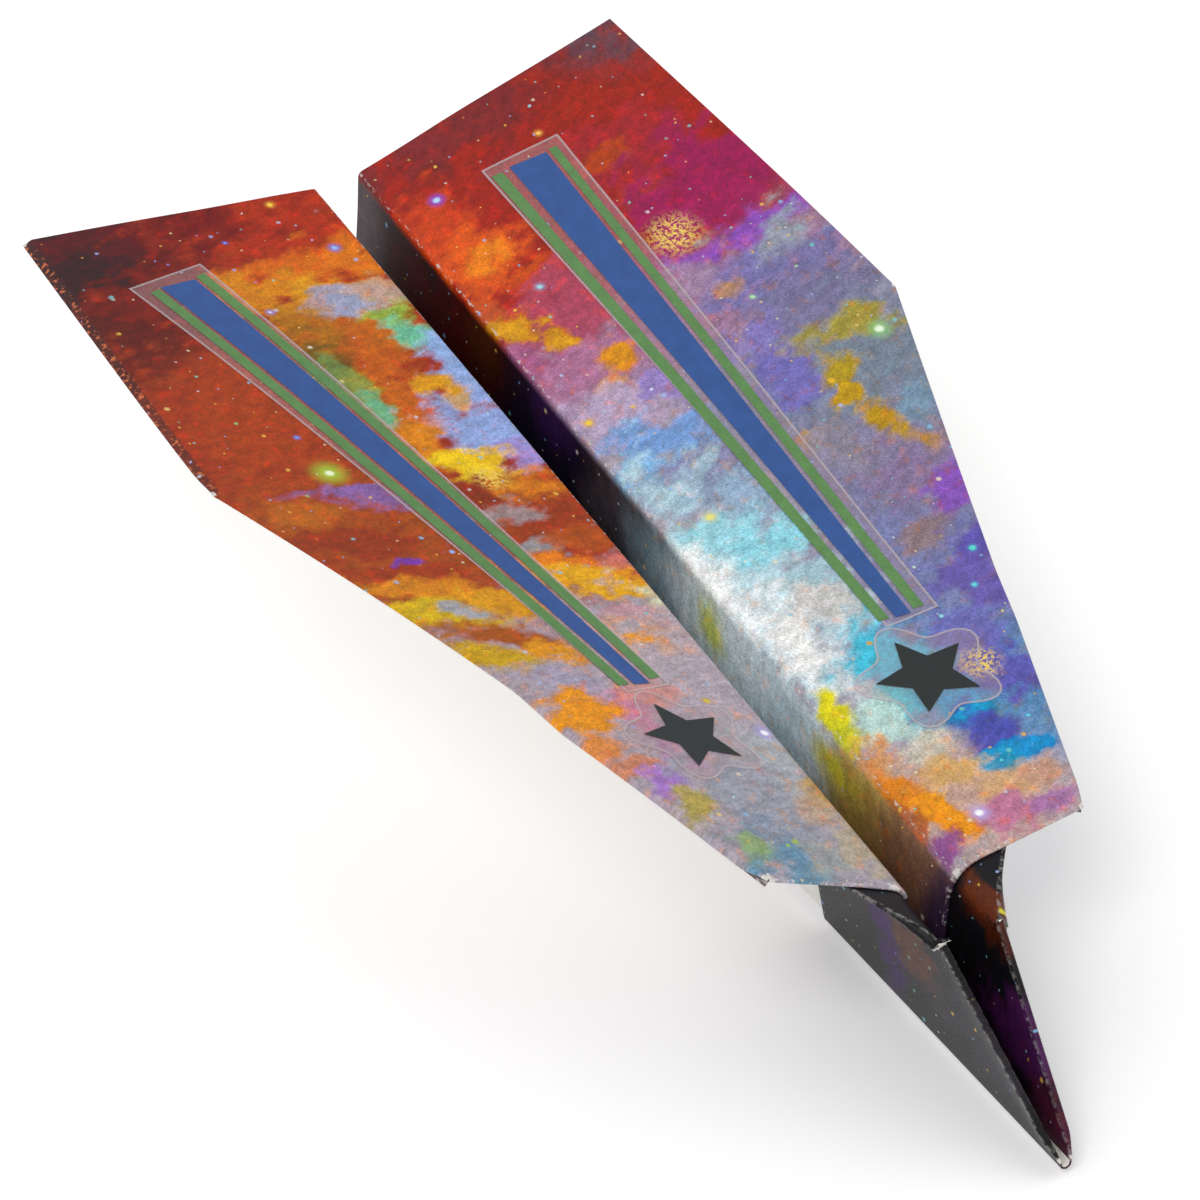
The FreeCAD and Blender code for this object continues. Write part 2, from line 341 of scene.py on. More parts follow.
    def fold(self, x: np.ndarray, y: np.ndarray, depth: np.ndarray) -> np.ndarray:
        """Places on the flat sheet, at a depth under the upper sheet, as folded points in metres.

        Args:
            x: Distances from the tail.
            y: Distances from the keel, port positive.
            depth: Depths under the printed face of the upper sheet.

        Returns:
            Points in the row frame, one row each.
        """
        step = 0.02
        here = self.surface(x, y, depth)
        ahead = self.surface(x + step, y, depth) - self.surface(x - step, y, depth)
        outward = self.surface(x, y + step, depth) - self.surface(x, y - step, depth)
        normal = np.cross(ahead, outward)
        normal /= np.linalg.norm(normal, axis=1)[:, None]
        lift = self.wave(x, y) - depth - self.edge_curl(x, y)
        return (here + normal * lift[:, None]) * MM

    def corner_line(self, x: Any) -> Any:
        """Distance from the keel to the line along which the front corner folds under."""
        return self.half + (x - self.kink) * self.corner_slope

    def flap_depth(self, x: np.ndarray) -> np.ndarray:
        """Depth of the corner flap: on the wing at its back, below every layer at the pleat."""
        share = np.clip((x - self.flap_ramp_end() + self.flap_ramp) / self.flap_ramp, 0, 1)
        return self.pitch * (1 + (Layer.CORNER_FLAP.value - 1) * share)

    def flap_ramp_end(self) -> float:
        """Where the corner flap has come down to its full depth."""
        return self.turned_over(((self.front, self.half),))[0][0] - self.flap_lead

    def lip_rise(self, x: np.ndarray, y: np.ndarray) -> np.ndarray:
        """How far the outer nose layer stands off the inner one beside the slanted fold.

        Args:
            x: Distances from the tail.
            y: Distances from the keel.

        Returns:
            The added depths, in millimetres.
        """
        from_edge = (self.apex - x - np.abs(y)) / math.sqrt(2)
        beside_edge = 1 - ease(from_edge, 0.0, self.lip_reach)
        return self.lip * beside_edge * ease(x, self.front, self.front + 10.0) * ease(np.abs(y), 1.2, 5.0)

    def turned_over(self, outline: Outline) -> list[tuple[float, float]]:
        """Outline turned over about the line along which the front corner folds under.

        Args:
            outline: The outline's corners, in order.

        Returns:
            The turned corners.
        """
        along = np.array([1.0, self.corner_slope]) / math.hypot(1.0, self.corner_slope)
        origin = np.array([self.kink, self.half])
        made = []
        for corner in outline:
            away = np.array(corner) - origin
            made.append(tuple(origin + 2 * away.dot(along) * along - away))
        return made

    def sheet_place(self, layer: Layer, x: np.ndarray, y: np.ndarray) -> np.ndarray:
        """Where a place on a folded layer lies on the flat printed sheet.

        Args:
            layer: The layer.
            x: Distances from the tail on the folded plane.
            y: Distances from the keel on the folded plane, port positive.

        Returns:
            Places on the sheet, in millimetres, with a zero third coordinate.
        """
        sign, across = np.where(y < 0, -1.0, 1.0), np.abs(y)
        if layer in (Layer.CORNER_FLAP, Layer.FLAP_PLEAT_UPPER, Layer.FLAP_PLEAT_LOWER):
            turned = np.array(self.turned_over(list(zip(x, across))))
            x, across = turned[:, 0], turned[:, 1]
        if layer in (Layer.PLEAT_LOWER, Layer.PLEAT_UPPER, Layer.FLAP_PLEAT_UPPER, Layer.FLAP_PLEAT_LOWER):
            x = 2 * self.front - x
        if layer in (Layer.NOSE_INNER, Layer.NOSE_OUTER):
            x = x + 2 * self.pleat_depth
        if layer in (Layer.PLEAT_UPPER, Layer.NOSE_OUTER, Layer.FLAP_PLEAT_LOWER):
            x, across = self.length - across, self.length - x
        return np.stack([x, across * sign, 0 * x], -1)


def ease(value: Any, low: float, high: float) -> Any:
    """Smooth step from 0 at low to 1 at high."""
    share = np.clip((value - low) / (high - low), 0.0, 1.0)
    return share * share * (3 - 2 * share)


# --------------------------------------------------------------------------- node materials


class Signal:
    """A value in a material's nodes, with the usual operators."""

    def __init__(self, board: "Board", socket: bpy.types.NodeSocket) -> None:
        """Wraps an output socket."""
        self.board, self.socket = board, socket

    def _math(self, operation: str, first: Any, second: Any) -> "Signal":
        """Adds one Math node."""
        return self.board.add("ShaderNodeMath", {"operation": operation}, {0: first, 1: second})

    def __add__(self, other: Any) -> "Signal":
        """Sum."""
        return self._math("ADD", self, other)

    __radd__ = __add__

    def __sub__(self, other: Any) -> "Signal":
        """Difference."""
        return self._math("SUBTRACT", self, other)

    def __rsub__(self, other: Any) -> "Signal":
        """Difference from a number."""
        return self._math("SUBTRACT", other, self)

    def __mul__(self, other: Any) -> "Signal":
        """Product."""
        return self._math("MULTIPLY", self, other)

    __rmul__ = __mul__

    def __truediv__(self, other: Any) -> "Signal":
        """Quotient."""
        return self._math("DIVIDE", self, other)

    def __abs__(self) -> "Signal":
        """Size without sign."""
        return self._math("ABSOLUTE", self, 0.0)

    def __lt__(self, other: Any) -> "Signal":
        """1 where this is less, otherwise 0."""
        return self._math("LESS_THAN", self, other)

    def __gt__(self, other: Any) -> "Signal":
        """1 where this is greater, otherwise 0."""
        return self._math("GREATER_THAN", self, other)

    def most(self, other: Any) -> "Signal":
        """The larger of two values."""
        return self._math("MAXIMUM", self, other)

    def between(self, low: float, high: float, start: float = 0.0, end: float = 1.0) -> "Signal":
        """Smooth step from start at low to end at high; low may be above high.

        Args:
            low: Where the step begins.
            high: Where it ends.
            start: The value before it.
            end: The value after it.

        Returns:
            The stepped value.
        """
        if low > high:
            low, high, start, end = high, low, end, start
        settings = {"interpolation_type": "SMOOTHSTEP"}
        return self.board.add("ShaderNodeMapRange", settings, {0: self, 1: low, 2: high, 3: start, 4: end})


def linear(code: str) -> tuple[float, float, float, float]:
    """Linear colour from a six-digit screen colour."""
    parts = [int(code[i : i + 2], 16) / 255 for i in (0, 2, 4)]
    return tuple(c / 12.92 if c <= 0.04045 else ((c + 0.055) / 1.055) ** 2.4 for c in parts) + (1.0,)


class Board:
    """The nodes of one material."""

    def __init__(self, name: str) -> None:
        """Starts an empty material.

        Args:
            name: The material's name.
        """
        self.material = bpy.data.materials.new(name)
        self.material.use_nodes = True
        self.tree = self.material.node_tree
        self.tree.nodes.clear()

    def node(self, kind: str, settings: dict[str, Any], inputs: dict[Any, Any]) -> bpy.types.Node:
        """Adds a node.

        Args:
            kind: The node's type.
            settings: Its settings, made first.
            inputs: Values or links, by socket name or number.

        Returns:
            The node.
        """
        made = self.tree.nodes.new(kind)
        for key, value in settings.items():
            setattr(made, key, value)
        for key, value in inputs.items():
            if isinstance(value, Signal):
                self.tree.links.new(value.socket, made.inputs[key])
            else:
                made.inputs[key].default_value = value
        return made

    def add(self, kind: str, settings: dict[str, Any], inputs: dict[Any, Any], output: Any = 0) -> Signal:
        """Adds a node and returns one of its outputs."""
        return Signal(self, self.node(kind, settings, inputs).outputs[output])

    def place(self, name: str) -> Signal:
        """A piece's stored places."""
        return self.add("ShaderNodeAttribute", {"attribute_name": name}, {}, "Vector")

    def parts(self, vector: Signal) -> tuple[Signal, Signal]:
        """First two coordinates of a vector."""
        split = self.node("ShaderNodeSeparateXYZ", {}, {0: vector})
        return Signal(self, split.outputs[0]), Signal(self, split.outputs[1])

    def moved(self, vector: Signal, by: Any, scale: float) -> Signal:
        """Vector with another one, times a number, added."""
        inputs = {0: by, 1: (scale, scale, scale), 2: vector}
        return self.add("ShaderNodeVectorMath", {"operation": "MULTIPLY_ADD"}, inputs)

    def stretched(self, vector: Signal, turn: float, scale: tuple[float, float, float]) -> Signal:
        """Vector turned, then scaled, so that a pattern runs along a direction."""
        turned = self.add("ShaderNodeMapping", {}, {"Vector": vector, "Rotation": (0.0, 0.0, math.radians(turn))})
        return self.add("ShaderNodeMapping", {}, {"Vector": turned, "Scale": scale})

    def noise(self, vector: Signal, scale: float, detail: float = 2.0, roughness: float = 0.5) -> Signal:
        """Cloudy noise from 0 to 1."""
        inputs = {"Vector": vector, "Scale": scale, "Detail": detail, "Roughness": roughness}
        return self.add("ShaderNodeTexNoise", {"noise_dimensions": "3D"}, inputs, "Fac")

    def noise_vector(self, vector: Signal, scale: float, detail: float = 2.0) -> Signal:
        """Noise in each coordinate, about zero."""
        made = self.add("ShaderNodeTexNoise", {}, {"Vector": vector, "Scale": scale, "Detail": detail}, "Color")
        return self.add("ShaderNodeVectorMath", {"operation": "SUBTRACT"}, {0: made, 1: (0.5, 0.5, 0.5)})

    def mix(self, share: Any, first: Any, second: Any, blend: str = "MIX") -> Signal:
        """Two colours mixed by a share."""
        settings = {"data_type": "RGBA", "blend_type": blend}
        return self.add("ShaderNodeMix", settings, {0: share, 6: first, 7: second}, 2)

    def grey(self, value: Signal) -> Signal:
        """A value as a grey colour."""
        return self.add("ShaderNodeCombineColor", {}, {0: value, 1: value, 2: value})

    def distance(self, vector: Signal, x: float, y: float) -> Signal:
        """Distance from a place on the sheet."""
        inputs = {0: vector, 1: (x, y, 0.0)}
        return self.add("ShaderNodeVectorMath", {"operation": "DISTANCE"}, inputs, "Value")

    def bump(self, height: Signal, distance: float) -> Signal:
        """Normal from a height in the given distance, in metres."""
        return self.add("ShaderNodeBump", {}, {"Height": height, "Distance": distance, "Strength": 1.0})

    def finish(self, inputs: dict[str, Any]) -> Material:
        """Joins a Principled shader with these inputs to the output.

        Args:
            inputs: Values or links of the shader's sockets.

        Returns:
            The material.
        """
        shader = self.node("ShaderNodeBsdfPrincipled", {}, inputs)
        output = self.node("ShaderNodeOutputMaterial", {}, {})
        self.tree.links.new(shader.outputs[0], output.inputs[0])
        return self.material


@dataclass(frozen=True)
class Cloud:
    """A soft patch of colour in the print, with its middle and half-sizes on the sheet; the body walls' patches also
    hold painted shade and a painted sheen.
    """

    x: float
    y: float
    long: float
    wide: float
    colour: str
    strength: float = 0.9
    turn: float = 0.0
    soft: float = 0.42
    ragged: float = 1.0


@dataclass(frozen=True)
class Glow:
    """A star in the print: a small bright core in a wider halo."""

    x: float
    y: float
    core: float
    colour: str
    halo: float = 0.0
    halo_colour: str = "ffffff"


STARBOARD_CLOUDS: tuple[Cloud, ...] = (
    Cloud(50, -75, 78, 90, "a13f27", 1.0, soft=0.2, ragged=0.4),
    Cloud(105, -86, 30, 24, "a8552a", 0.9, soft=0.4, ragged=0.6),
    Cloud(150, -50, 34, 60, "ad9fa8", 0.9, soft=0.4, ragged=0.6),
    Cloud(6, -62, 15, 26, "b23c2a", 0.9),
    Cloud(20, -92, 26, 18, "7a2a25", 0.95),
    Cloud(2, -100, 18, 16, "33161b", 1.0),
    Cloud(36, -97, 9, 8, "5a2420", 0.8),
    Cloud(4, -80, 6, 20, "6a2428", 0.6),
    Cloud(60, -88, 22, 12, "ab4a2c", 0.8),
    Cloud(22, -60, 7, 20, "d8691f", 0.95, 8),
    Cloud(26, -72, 5, 10, "d98a24", 0.9),
    Cloud(21, -50, 4, 10, "e07c22", 0.9),
    Cloud(33, -60, 6, 11, "e2a630", 0.9),
    Cloud(33, -58, 4.5, 9, "a3a8c4", 1.0, 5),
    Cloud(30, -50, 4, 6, "caa58c", 0.8),
    Cloud(38, -53, 3, 7, "96b455", 0.95, 20),
    Cloud(42, -50, 4, 9, "7cc2a2", 1.0, 15),
    Cloud(41, -68, 9, 8, "b0711c", 0.9),
    Cloud(48, -69, 8, 6, "72561f", 0.9),
    Cloud(50, -70, 4, 3, "6f8a52", 0.9),
    Cloud(48, -60, 10, 6, "c8621b", 0.9, 10),
    Cloud(62, -62, 14, 5, "cf6a1d", 0.9),
    Cloud(57, -67, 8, 3.5, "8f9c54", 0.9),
    Cloud(61, -66, 4, 2.2, "71b08d", 0.9),
    Cloud(58, -45, 9, 7, "a0b3e2", 1.0, 12),
    Cloud(47, -43, 9, 6, "9fb9e6", 1.0),
    Cloud(69, -48, 11, 11, "9fb2e2", 1.0, -10),
    Cloud(77, -45, 4, 5, "a898d6", 0.9),
    Cloud(61, -50, 3, 3, "d0a24e", 0.8),
    Cloud(57, -52, 2.5, 5, "e0a22c", 0.9),
    Cloud(74, -61, 8, 4, "e5902a", 0.9),
    Cloud(79, -55, 5, 6, "f4d040", 1.0),
    Cloud(77, -50, 3, 4, "efc34a", 0.9),
    Cloud(86, -58, 4, 6, "8d3314", 1.0),
    Cloud(85, -46, 4, 7, "e08a35", 0.8),
    Cloud(92, -44, 5, 8, "9a3d1c", 0.9),
    Cloud(91, -56, 3, 6, "a59a9c", 0.8),
    Cloud(97, -56, 3.5, 6, "9a4422", 0.8),
    Cloud(102, -55, 4, 5, "96999f", 0.9),
    Cloud(99, -44, 4, 8, "b85a2a", 0.8),
    Cloud(107, -52, 4, 12, "ee8626", 1.0, -12),
    Cloud(106, -42, 4, 6, "cf8a8a", 0.7),
    Cloud(113, -48, 4, 10, "efb63a", 0.9, -12),
    Cloud(117, -38, 5, 5, "d9dcc0", 0.9),
    Cloud(121, -46, 5, 8, "c69aa4", 0.8),
    Cloud(128, -48, 5, 9, "f0a545", 0.95, -10),
    Cloud(86, -82, 3, 9, "8a70ae", 0.9, -12),
    Cloud(89, -92, 4, 8, "c06a22", 0.8),
    Cloud(97, -88, 5, 12, "96381d", 0.9),
    Cloud(107, -84, 4, 13, "a23c18", 1.0),
    Cloud(103, -80, 1.0, 4, "7a4fae", 0.9),
    Cloud(113, -80, 4, 12, "dc8a22", 0.95, -8),
    Cloud(121, -82, 5, 9, "d7b428", 1.0),
    Cloud(120, -78, 2.5, 4, "9da2b2", 0.9),
    Cloud(117, -68, 4, 6, "e0a030", 0.9),
    Cloud(127, -74, 3, 12, "a9581c", 0.9, -8),
    Cloud(133, -78, 3, 9, "cda52a", 0.95, -8),
    Cloud(131, -66, 3, 6, "e9a136", 0.9),
    Cloud(139, -68, 5, 9, "a69fb4", 0.95),
    Cloud(150, -46, 26, 17, "b3a9b4", 0.95),
    Cloud(146, -60, 7, 6, "cb8da6", 0.95),
    Cloud(140, -55, 5, 6, "d59a92", 0.8),
    Cloud(148, -70, 6, 6, "efa146", 0.95, -10),
    Cloud(157, -70, 4, 4, "e2975f", 0.9),
    Cloud(163, -67, 4, 4, "cf8d72", 0.9),
    Cloud(159, -57, 5, 5, "b985ae", 0.8),
    Cloud(169, -64, 4, 4, "ab84cc", 0.95),
    Cloud(170, -45, 16, 14, "9da0ad", 0.95),
    Cloud(158, -40, 7, 6, "aeb2b8", 0.8),
    Cloud(174, -62, 4, 4, "b3a355", 0.9),
    Cloud(181, -55, 6, 6, "8492a4", 0.9),
    Cloud(183, -58, 3, 3, "8fa877", 0.9),
    Cloud(188, -50, 4, 8, "6f94ac", 0.95),
    Cloud(186, -42, 4, 5, "9ea2a0", 0.8),
    Cloud(166, -32, 4, 5, "c39f68", 0.9),
    Cloud(180, -34, 9, 5, "b9ad9a", 0.9),
    Cloud(173, -38, 4, 4, "c3a58c", 0.7),
)

PORT_CLOUDS: tuple[Cloud, ...] = (
    Cloud(20, 76, 50, 90, "a3403a", 1.0, soft=0.2, ragged=0.5),
    Cloud(66, 76, 16, 60, "a07898", 0.9, soft=0.5, ragged=0.6),
    Cloud(92, 86, 20, 34, "7f86a0", 0.95, soft=0.5, ragged=0.6),
    Cloud(118, 80, 22, 24, "857f9c", 0.95, soft=0.5, ragged=0.6),
    Cloud(140, 68, 24, 22, "7c84b0", 0.9, soft=0.5, ragged=0.6),
    Cloud(165, 60, 20, 18, "5f8fbc", 0.9, soft=0.5, ragged=0.6),
    Cloud(180, 44, 16, 18, "c9a796", 0.9, soft=0.5, ragged=0.6),
    Cloud(3, 74, 8, 30, "7e3638", 0.9),
    Cloud(3, 102, 10, 10, "5c4450", 0.95),
    Cloud(16, 92, 12, 14, "a04038", 0.8),
    Cloud(28, 88, 12, 14, "a64448", 0.9),
    Cloud(24, 52, 12, 9, "cf4e30", 0.95),
    Cloud(33, 55, 8, 9, "e3602f", 1.0),
    Cloud(33, 57, 3, 5, "ee8a3c", 0.95),
    Cloud(40, 60, 4, 5, "d9633f", 0.8),
    Cloud(26, 84, 3, 6, "b75c40", 0.7),
    Cloud(37, 86, 3, 6, "bb5648", 0.8),
    Cloud(44, 95, 12, 15, "9c3a60", 0.95),
    Cloud(52, 82, 5, 8, "a94a74", 0.9),
    Cloud(50, 60, 9, 12, "b05a6c", 0.95),
    Cloud(44, 48, 6, 5, "c86a50", 0.9),
    Cloud(49, 50, 3.5, 3, "e0a23a", 1.0),
    Cloud(55, 53, 3.5, 2.5, "dfa02e", 1.0),
    Cloud(59, 47, 6, 6, "a8688e", 0.9),
    Cloud(64, 50, 6, 10, "b07c9c", 0.9),
    Cloud(66, 58, 3.5, 3.5, "e0983a", 1.0, 10),
    Cloud(70, 53, 2.5, 4, "d89a44", 0.9),
    Cloud(55, 94, 3, 12, "9566c2", 0.9, -14),
    Cloud(63, 90, 6, 13, "8580b4", 0.95),
    Cloud(61, 99, 4, 6, "9aa2ae", 0.9),
    Cloud(63, 85, 2.5, 2.5, "b58a66", 0.9),
    Cloud(70, 96, 6, 9, "7d7aa6", 0.9),
    Cloud(58, 80, 5, 5, "a48aa6", 0.9),
    Cloud(76, 50, 7, 12, "b9a8c4", 0.95),
    Cloud(74, 60, 5, 4, "9f8cc8", 0.9),
    Cloud(77, 90, 7, 14, "7e7a9c", 0.9),
    Cloud(78, 78, 7, 6, "8f84c2", 0.9),
    Cloud(84, 53, 3.5, 9, "86a6d8", 1.0, -12),
    Cloud(90, 47, 4, 8, "8fbae2", 1.0),
    Cloud(93, 56, 3, 8, "8c84a8", 0.9, -15),
    Cloud(98, 52, 6, 11, "8d98b4", 0.95, -12),
    Cloud(92, 90, 11, 16, "7c8796", 0.95),
    Cloud(88, 78, 6, 6, "7f78bc", 0.9),
    Cloud(84, 94, 3, 9, "a89a44", 0.9, -10),
    Cloud(90, 86, 3, 4, "b49a3c", 0.95),
    Cloud(95, 83, 2.2, 3, "c9a032", 1.0),
    Cloud(105, 85, 6, 2.6, "bf9836", 0.95),
    Cloud(112, 87, 3, 2.5, "c8983a", 0.95),
    Cloud(103, 92, 6, 4, "7f98ae", 0.9),
    Cloud(100, 72, 3, 1.6, "cf9f4e", 0.9),
    Cloud(104, 76, 7, 5, "8f8a9a", 0.9),
    Cloud(117, 82, 8, 8, "8b7a9c", 0.95),
    Cloud(121, 84, 4, 5, "8f66bc", 0.95),
    Cloud(129, 74, 5, 5, "8f7a7c", 0.9),
    Cloud(134, 80, 4, 5, "6b62ae", 0.95),
    Cloud(142, 74, 7, 6, "7468ae", 0.95),
    Cloud(124, 45, 28, 14, "bcd8e2", 1.0, soft=0.45),
    Cloud(106, 56, 8, 6, "9cb4cc", 0.9),
    Cloud(108, 46, 5, 9, "a5dbe6", 0.9, -15),
    Cloud(116, 54, 4, 7, "9bd9e6", 0.9),
    Cloud(128, 55, 6, 4, "a9c6d0", 0.8),
    Cloud(118, 40, 14, 4.5, "f6fafa", 1.0, soft=0.7),
    Cloud(136, 44, 12, 5.5, "f2f2f0", 1.0, soft=0.7),
    Cloud(133, 53, 4, 4, "cfc8c4", 0.8),
    Cloud(150, 45, 6, 4, "cfd8dc", 0.9),
    Cloud(150, 54, 9, 8, "66c3dc", 1.0),
    Cloud(158, 50, 6, 6, "62c6d4", 1.0),
    Cloud(163, 56, 5, 6, "3fa3cf", 0.95),
    Cloud(160, 66, 6, 6, "6a66b0", 0.95),
    Cloud(150, 66, 5, 5, "7a76b8", 0.9),
    Cloud(170, 56, 5, 6, "5a5cae", 0.95),
    Cloud(175, 60, 2.8, 6, "2b92d0", 1.0, -8),
    Cloud(176, 52, 2.5, 4, "3f9fc8", 0.9),
    Cloud(158, 43, 7, 4, "bfdcd4", 0.9),
    Cloud(152, 38, 3.2, 3.6, "e2d94a", 1.0),
    Cloud(157, 35, 4, 3, "c8c84a", 0.95),
    Cloud(166, 36, 5, 5, "dca070", 0.95),
    Cloud(168, 44, 4, 5, "cfc8ba", 0.9),
    Cloud(174, 36, 6, 4, "dd8e4e", 0.95),
    Cloud(175, 44, 4, 5, "d8b07a", 0.9),
    Cloud(184, 38, 7, 4, "f09c34", 1.0, 25),
    Cloud(181, 50, 4, 6, "d8b088", 0.9),
    Cloud(182, 57, 3, 3, "c9a08c", 0.9),
    Cloud(188, 47, 4, 5, "bd7f9c", 0.95),
    Cloud(189, 55, 3, 4, "a878a8", 0.9),
    Cloud(189, 33, 4, 4, "8d5690", 0.95),
    Cloud(180, 32, 6, 2.5, "b06a4a", 0.9),
)

# Colours of the body walls between the creases: print with painted shade of the channel between the walls laid into
# it, darkest towards the tail.
CHANNEL_PRINT_AND_SHADE: tuple[Cloud, ...] = (
    Cloud(90, 20, 200, 90, "241013", 1.0, soft=0.1, ragged=0.0),
    # painted sheen: paler grey-violet for light reflected at the walls' tail end
    Cloud(3, 25, 7, 24, "5a4c54", 0.95, soft=0.6, ragged=0.3),
    Cloud(30, 38, 20, 10, "481512", 0.9, soft=0.6),
    Cloud(44, 40, 5, 6, "47240f", 0.7, soft=0.7),
    Cloud(66, 32, 15, 14, "191227", 1.0, soft=0.5, ragged=0.5),
    Cloud(66, 40, 7, 4, "3c2350", 0.8, soft=0.7),
    Cloud(88, 30, 10, 14, "4a434a", 0.95, soft=0.6, ragged=0.5),
    Cloud(103, 28, 10, 16, "8496a0", 0.95, soft=0.6, ragged=0.5),
    Cloud(128, 28, 22, 20, "d3dde2", 1.0, soft=0.5, ragged=0.5),
    Cloud(119, 32, 3.5, 3.5, "c4c86a", 0.9, soft=0.8),
    Cloud(149, 26, 12, 20, "c3d0d8", 0.95, soft=0.6, ragged=0.5),
    Cloud(166, 24, 10, 18, "a8925c", 0.95, soft=0.6, ragged=0.5),
    Cloud(158, 28, 6, 3, "c4bc52", 0.9, soft=0.8),
    Cloud(181, 20, 11, 16, "8a6a58", 0.95, soft=0.6, ragged=0.5),
    Cloud(191, 18, 5, 12, "37294a", 0.9, soft=0.6, ragged=0.5),
)

NOSE_CLOUDS: tuple[Cloud, ...] = (
    Cloud(277, -50, 15, 5, "351a52", 1.0),
    Cloud(279, -40, 6, 5, "54321f", 0.9),
    Cloud(272, -10, 6, 5, "453038", 0.8),
    Cloud(285, -20, 6, 14, "2b2830", 0.8),
    Cloud(267, 28, 9, 3, "4a2418", 0.75),
    Cloud(262, 32, 6, 3, "63321f", 0.85),
    Cloud(280, 14, 14, 5, "4a2550", 0.9),
    Cloud(290, 5, 7, 6, "4f2438", 0.9),
)

PRINTS = {Side.PORT: PORT_CLOUDS, Side.STARBOARD: STARBOARD_CLOUDS, None: NOSE_CLOUDS}

GLOWS: tuple[Glow, ...] = (
    Glow(77.5, -82.5, 1.1, "f4ffd8", 4.6, "a9cf3c"),
    Glow(31.5, -73, 0.5, "dfe4ff", 1.3, "8c84e0"),
    Glow(2.2, -60.5, 0.7, "ffd84a", 1.5, "f0a030"),
    Glow(16.3, -54.5, 0.8, "9cc4ff", 1.8, "5a7ae8"),
    Glow(10.4, -72.3, 0.4, "8fa4f0", 0.9, "6a62c8"),
    Glow(14, -84.3, 0.35, "7f8ce8"),
    Glow(21.3, -97.4, 0.55, "9fb8a0"),
    Glow(22.7, -68.6, 0.4, "9cd0b8"),
    Glow(46.5, -93, 0.45, "74c8a8"),
    Glow(61, -92, 0.5, "8ad082"),
    Glow(65.3, -89, 0.6, "f2a83c"),
    Glow(66.8, -83.6, 0.5, "6fa8ff", 1.0, "4f7ae0"),
    Glow(63.5, -79, 0.7, "c8d848"),
    Glow(73, -65, 0.5, "a4d8a0"),
    Glow(83.4, -89.2, 0.5, "9cc070"),
    Glow(87.6, -94.3, 0.5, "efa02c"),
    Glow(101.8, -71.2, 0.7, "9cc0ff"),
    Glow(152, -37, 1.0, "ffffff", 2.8, "b3a6ee"),
    Glow(143.7, -44, 0.8, "dcc42c", 1.3, "d8b040"),
    Glow(170, -52.4, 0.4, "b8dfe8"),
    Glow(182.6, -48.7, 0.6, "a9cc4a"),
    Glow(181.4, -46.7, 1.0, "a8bb58"),
    Glow(14.6, 57.2, 0.9, "bfe4ff", 2.2, "6a4ae0"),
    Glow(13.5, 79.6, 0.6, "ffd060", 1.3, "f0a040"),
    Glow(8.0, 61.6, 0.45, "f0c040"),
    Glow(7.3, 82.3, 0.45, "a8d8e8"),
    Glow(3.5, 59.2, 0.35, "b8b050"),
    Glow(43.0, 58.4, 0.7, "a8e0f0", 1.5, "8aa0c8"),
    Glow(35.8, 63.5, 0.35, "ffd890"),
    Glow(29.0, 95.5, 0.4, "8aa0a0"),
    Glow(44.8, 52.0, 0.45, "f5c040"),
    Glow(47.6, 43.0, 0.45, "e0b050"),
    Glow(74.3, 45.8, 0.8, "f6d23c", 1.8, "dfae50"),
    Glow(74.6, 58.6, 0.4, "d8e8f4"),
    Glow(68.0, 84.6, 0.6, "b8e8b0", 1.1, "90b0a0"),
    Glow(67.0, 94.6, 0.4, "a8e0a8"),
    Glow(52.9, 91.4, 0.35, "90c8c8"),
    Glow(3.4, 99.0, 0.35, "80b0c0"),
    Glow(86.9, 97.0, 1.1, "f2ffe6", 3.2, "8fcc78"),
    Glow(91.5, 83.5, 0.9, "e8b828"),
    Glow(104.6, 48.5, 1.0, "f0e878", 2.2, "cfd498"),
    Glow(135.6, 79.0, 0.8, "58e0d0", 1.4, "4a98c8"),
    Glow(142.4, 74.2, 0.7, "68d8e0", 1.2, "5a98d0"),
    Glow(144.9, 65.4, 0.6, "8ae0e0"),
    Glow(143.2, 52.0, 0.7, "d8a030"),
    Glow(133.4, 68.6, 0.4, "c8f0d8"),
    Glow(171.0, 63.0, 0.5, "68d8e8"),
    Glow(176.6, 53.2, 0.5, "58d0d8"),
    Glow(184.2, 42.8, 1.0, "ffffff", 3.0, "b8b0f0"),
    Glow(174.0, 59.8, 0.5, "e8b040"),
    Glow(285, -31, 0.6, "d8b828"),
    Glow(279, -36.5, 0.4, "8ac8c0"),
    Glow(274.5, -21.5, 0.6, "e0a840"),
    Glow(265.5, 32.0, 0.7, "d8d030", 1.2, "806020"),
    Glow(290, -44, 0.5, "78b8a8"),
)


@dataclass(frozen=True)
class Speckle:
    """A patch of fine bright flecks in the print."""

    x: float
    y: float
    radius: float
    side: Side


DRIFTS = ((0.045, 3.0, 11.0), (0.22, 4.0, 4.5), (0.9, 2.0, 0.9))  # noise scale, detail and reach
SPECK_HUES = ((0.0, "6fd0c0"), (0.35, "8fb4ff"), (0.6, "f2ead0"), (0.8, "f0c048"))
SPECKLES = (Speckle(48, 83, 6.5, Side.PORT), Speckle(157, 64, 5.0, Side.PORT), Speckle(82, -55, 4.5, Side.STARBOARD))


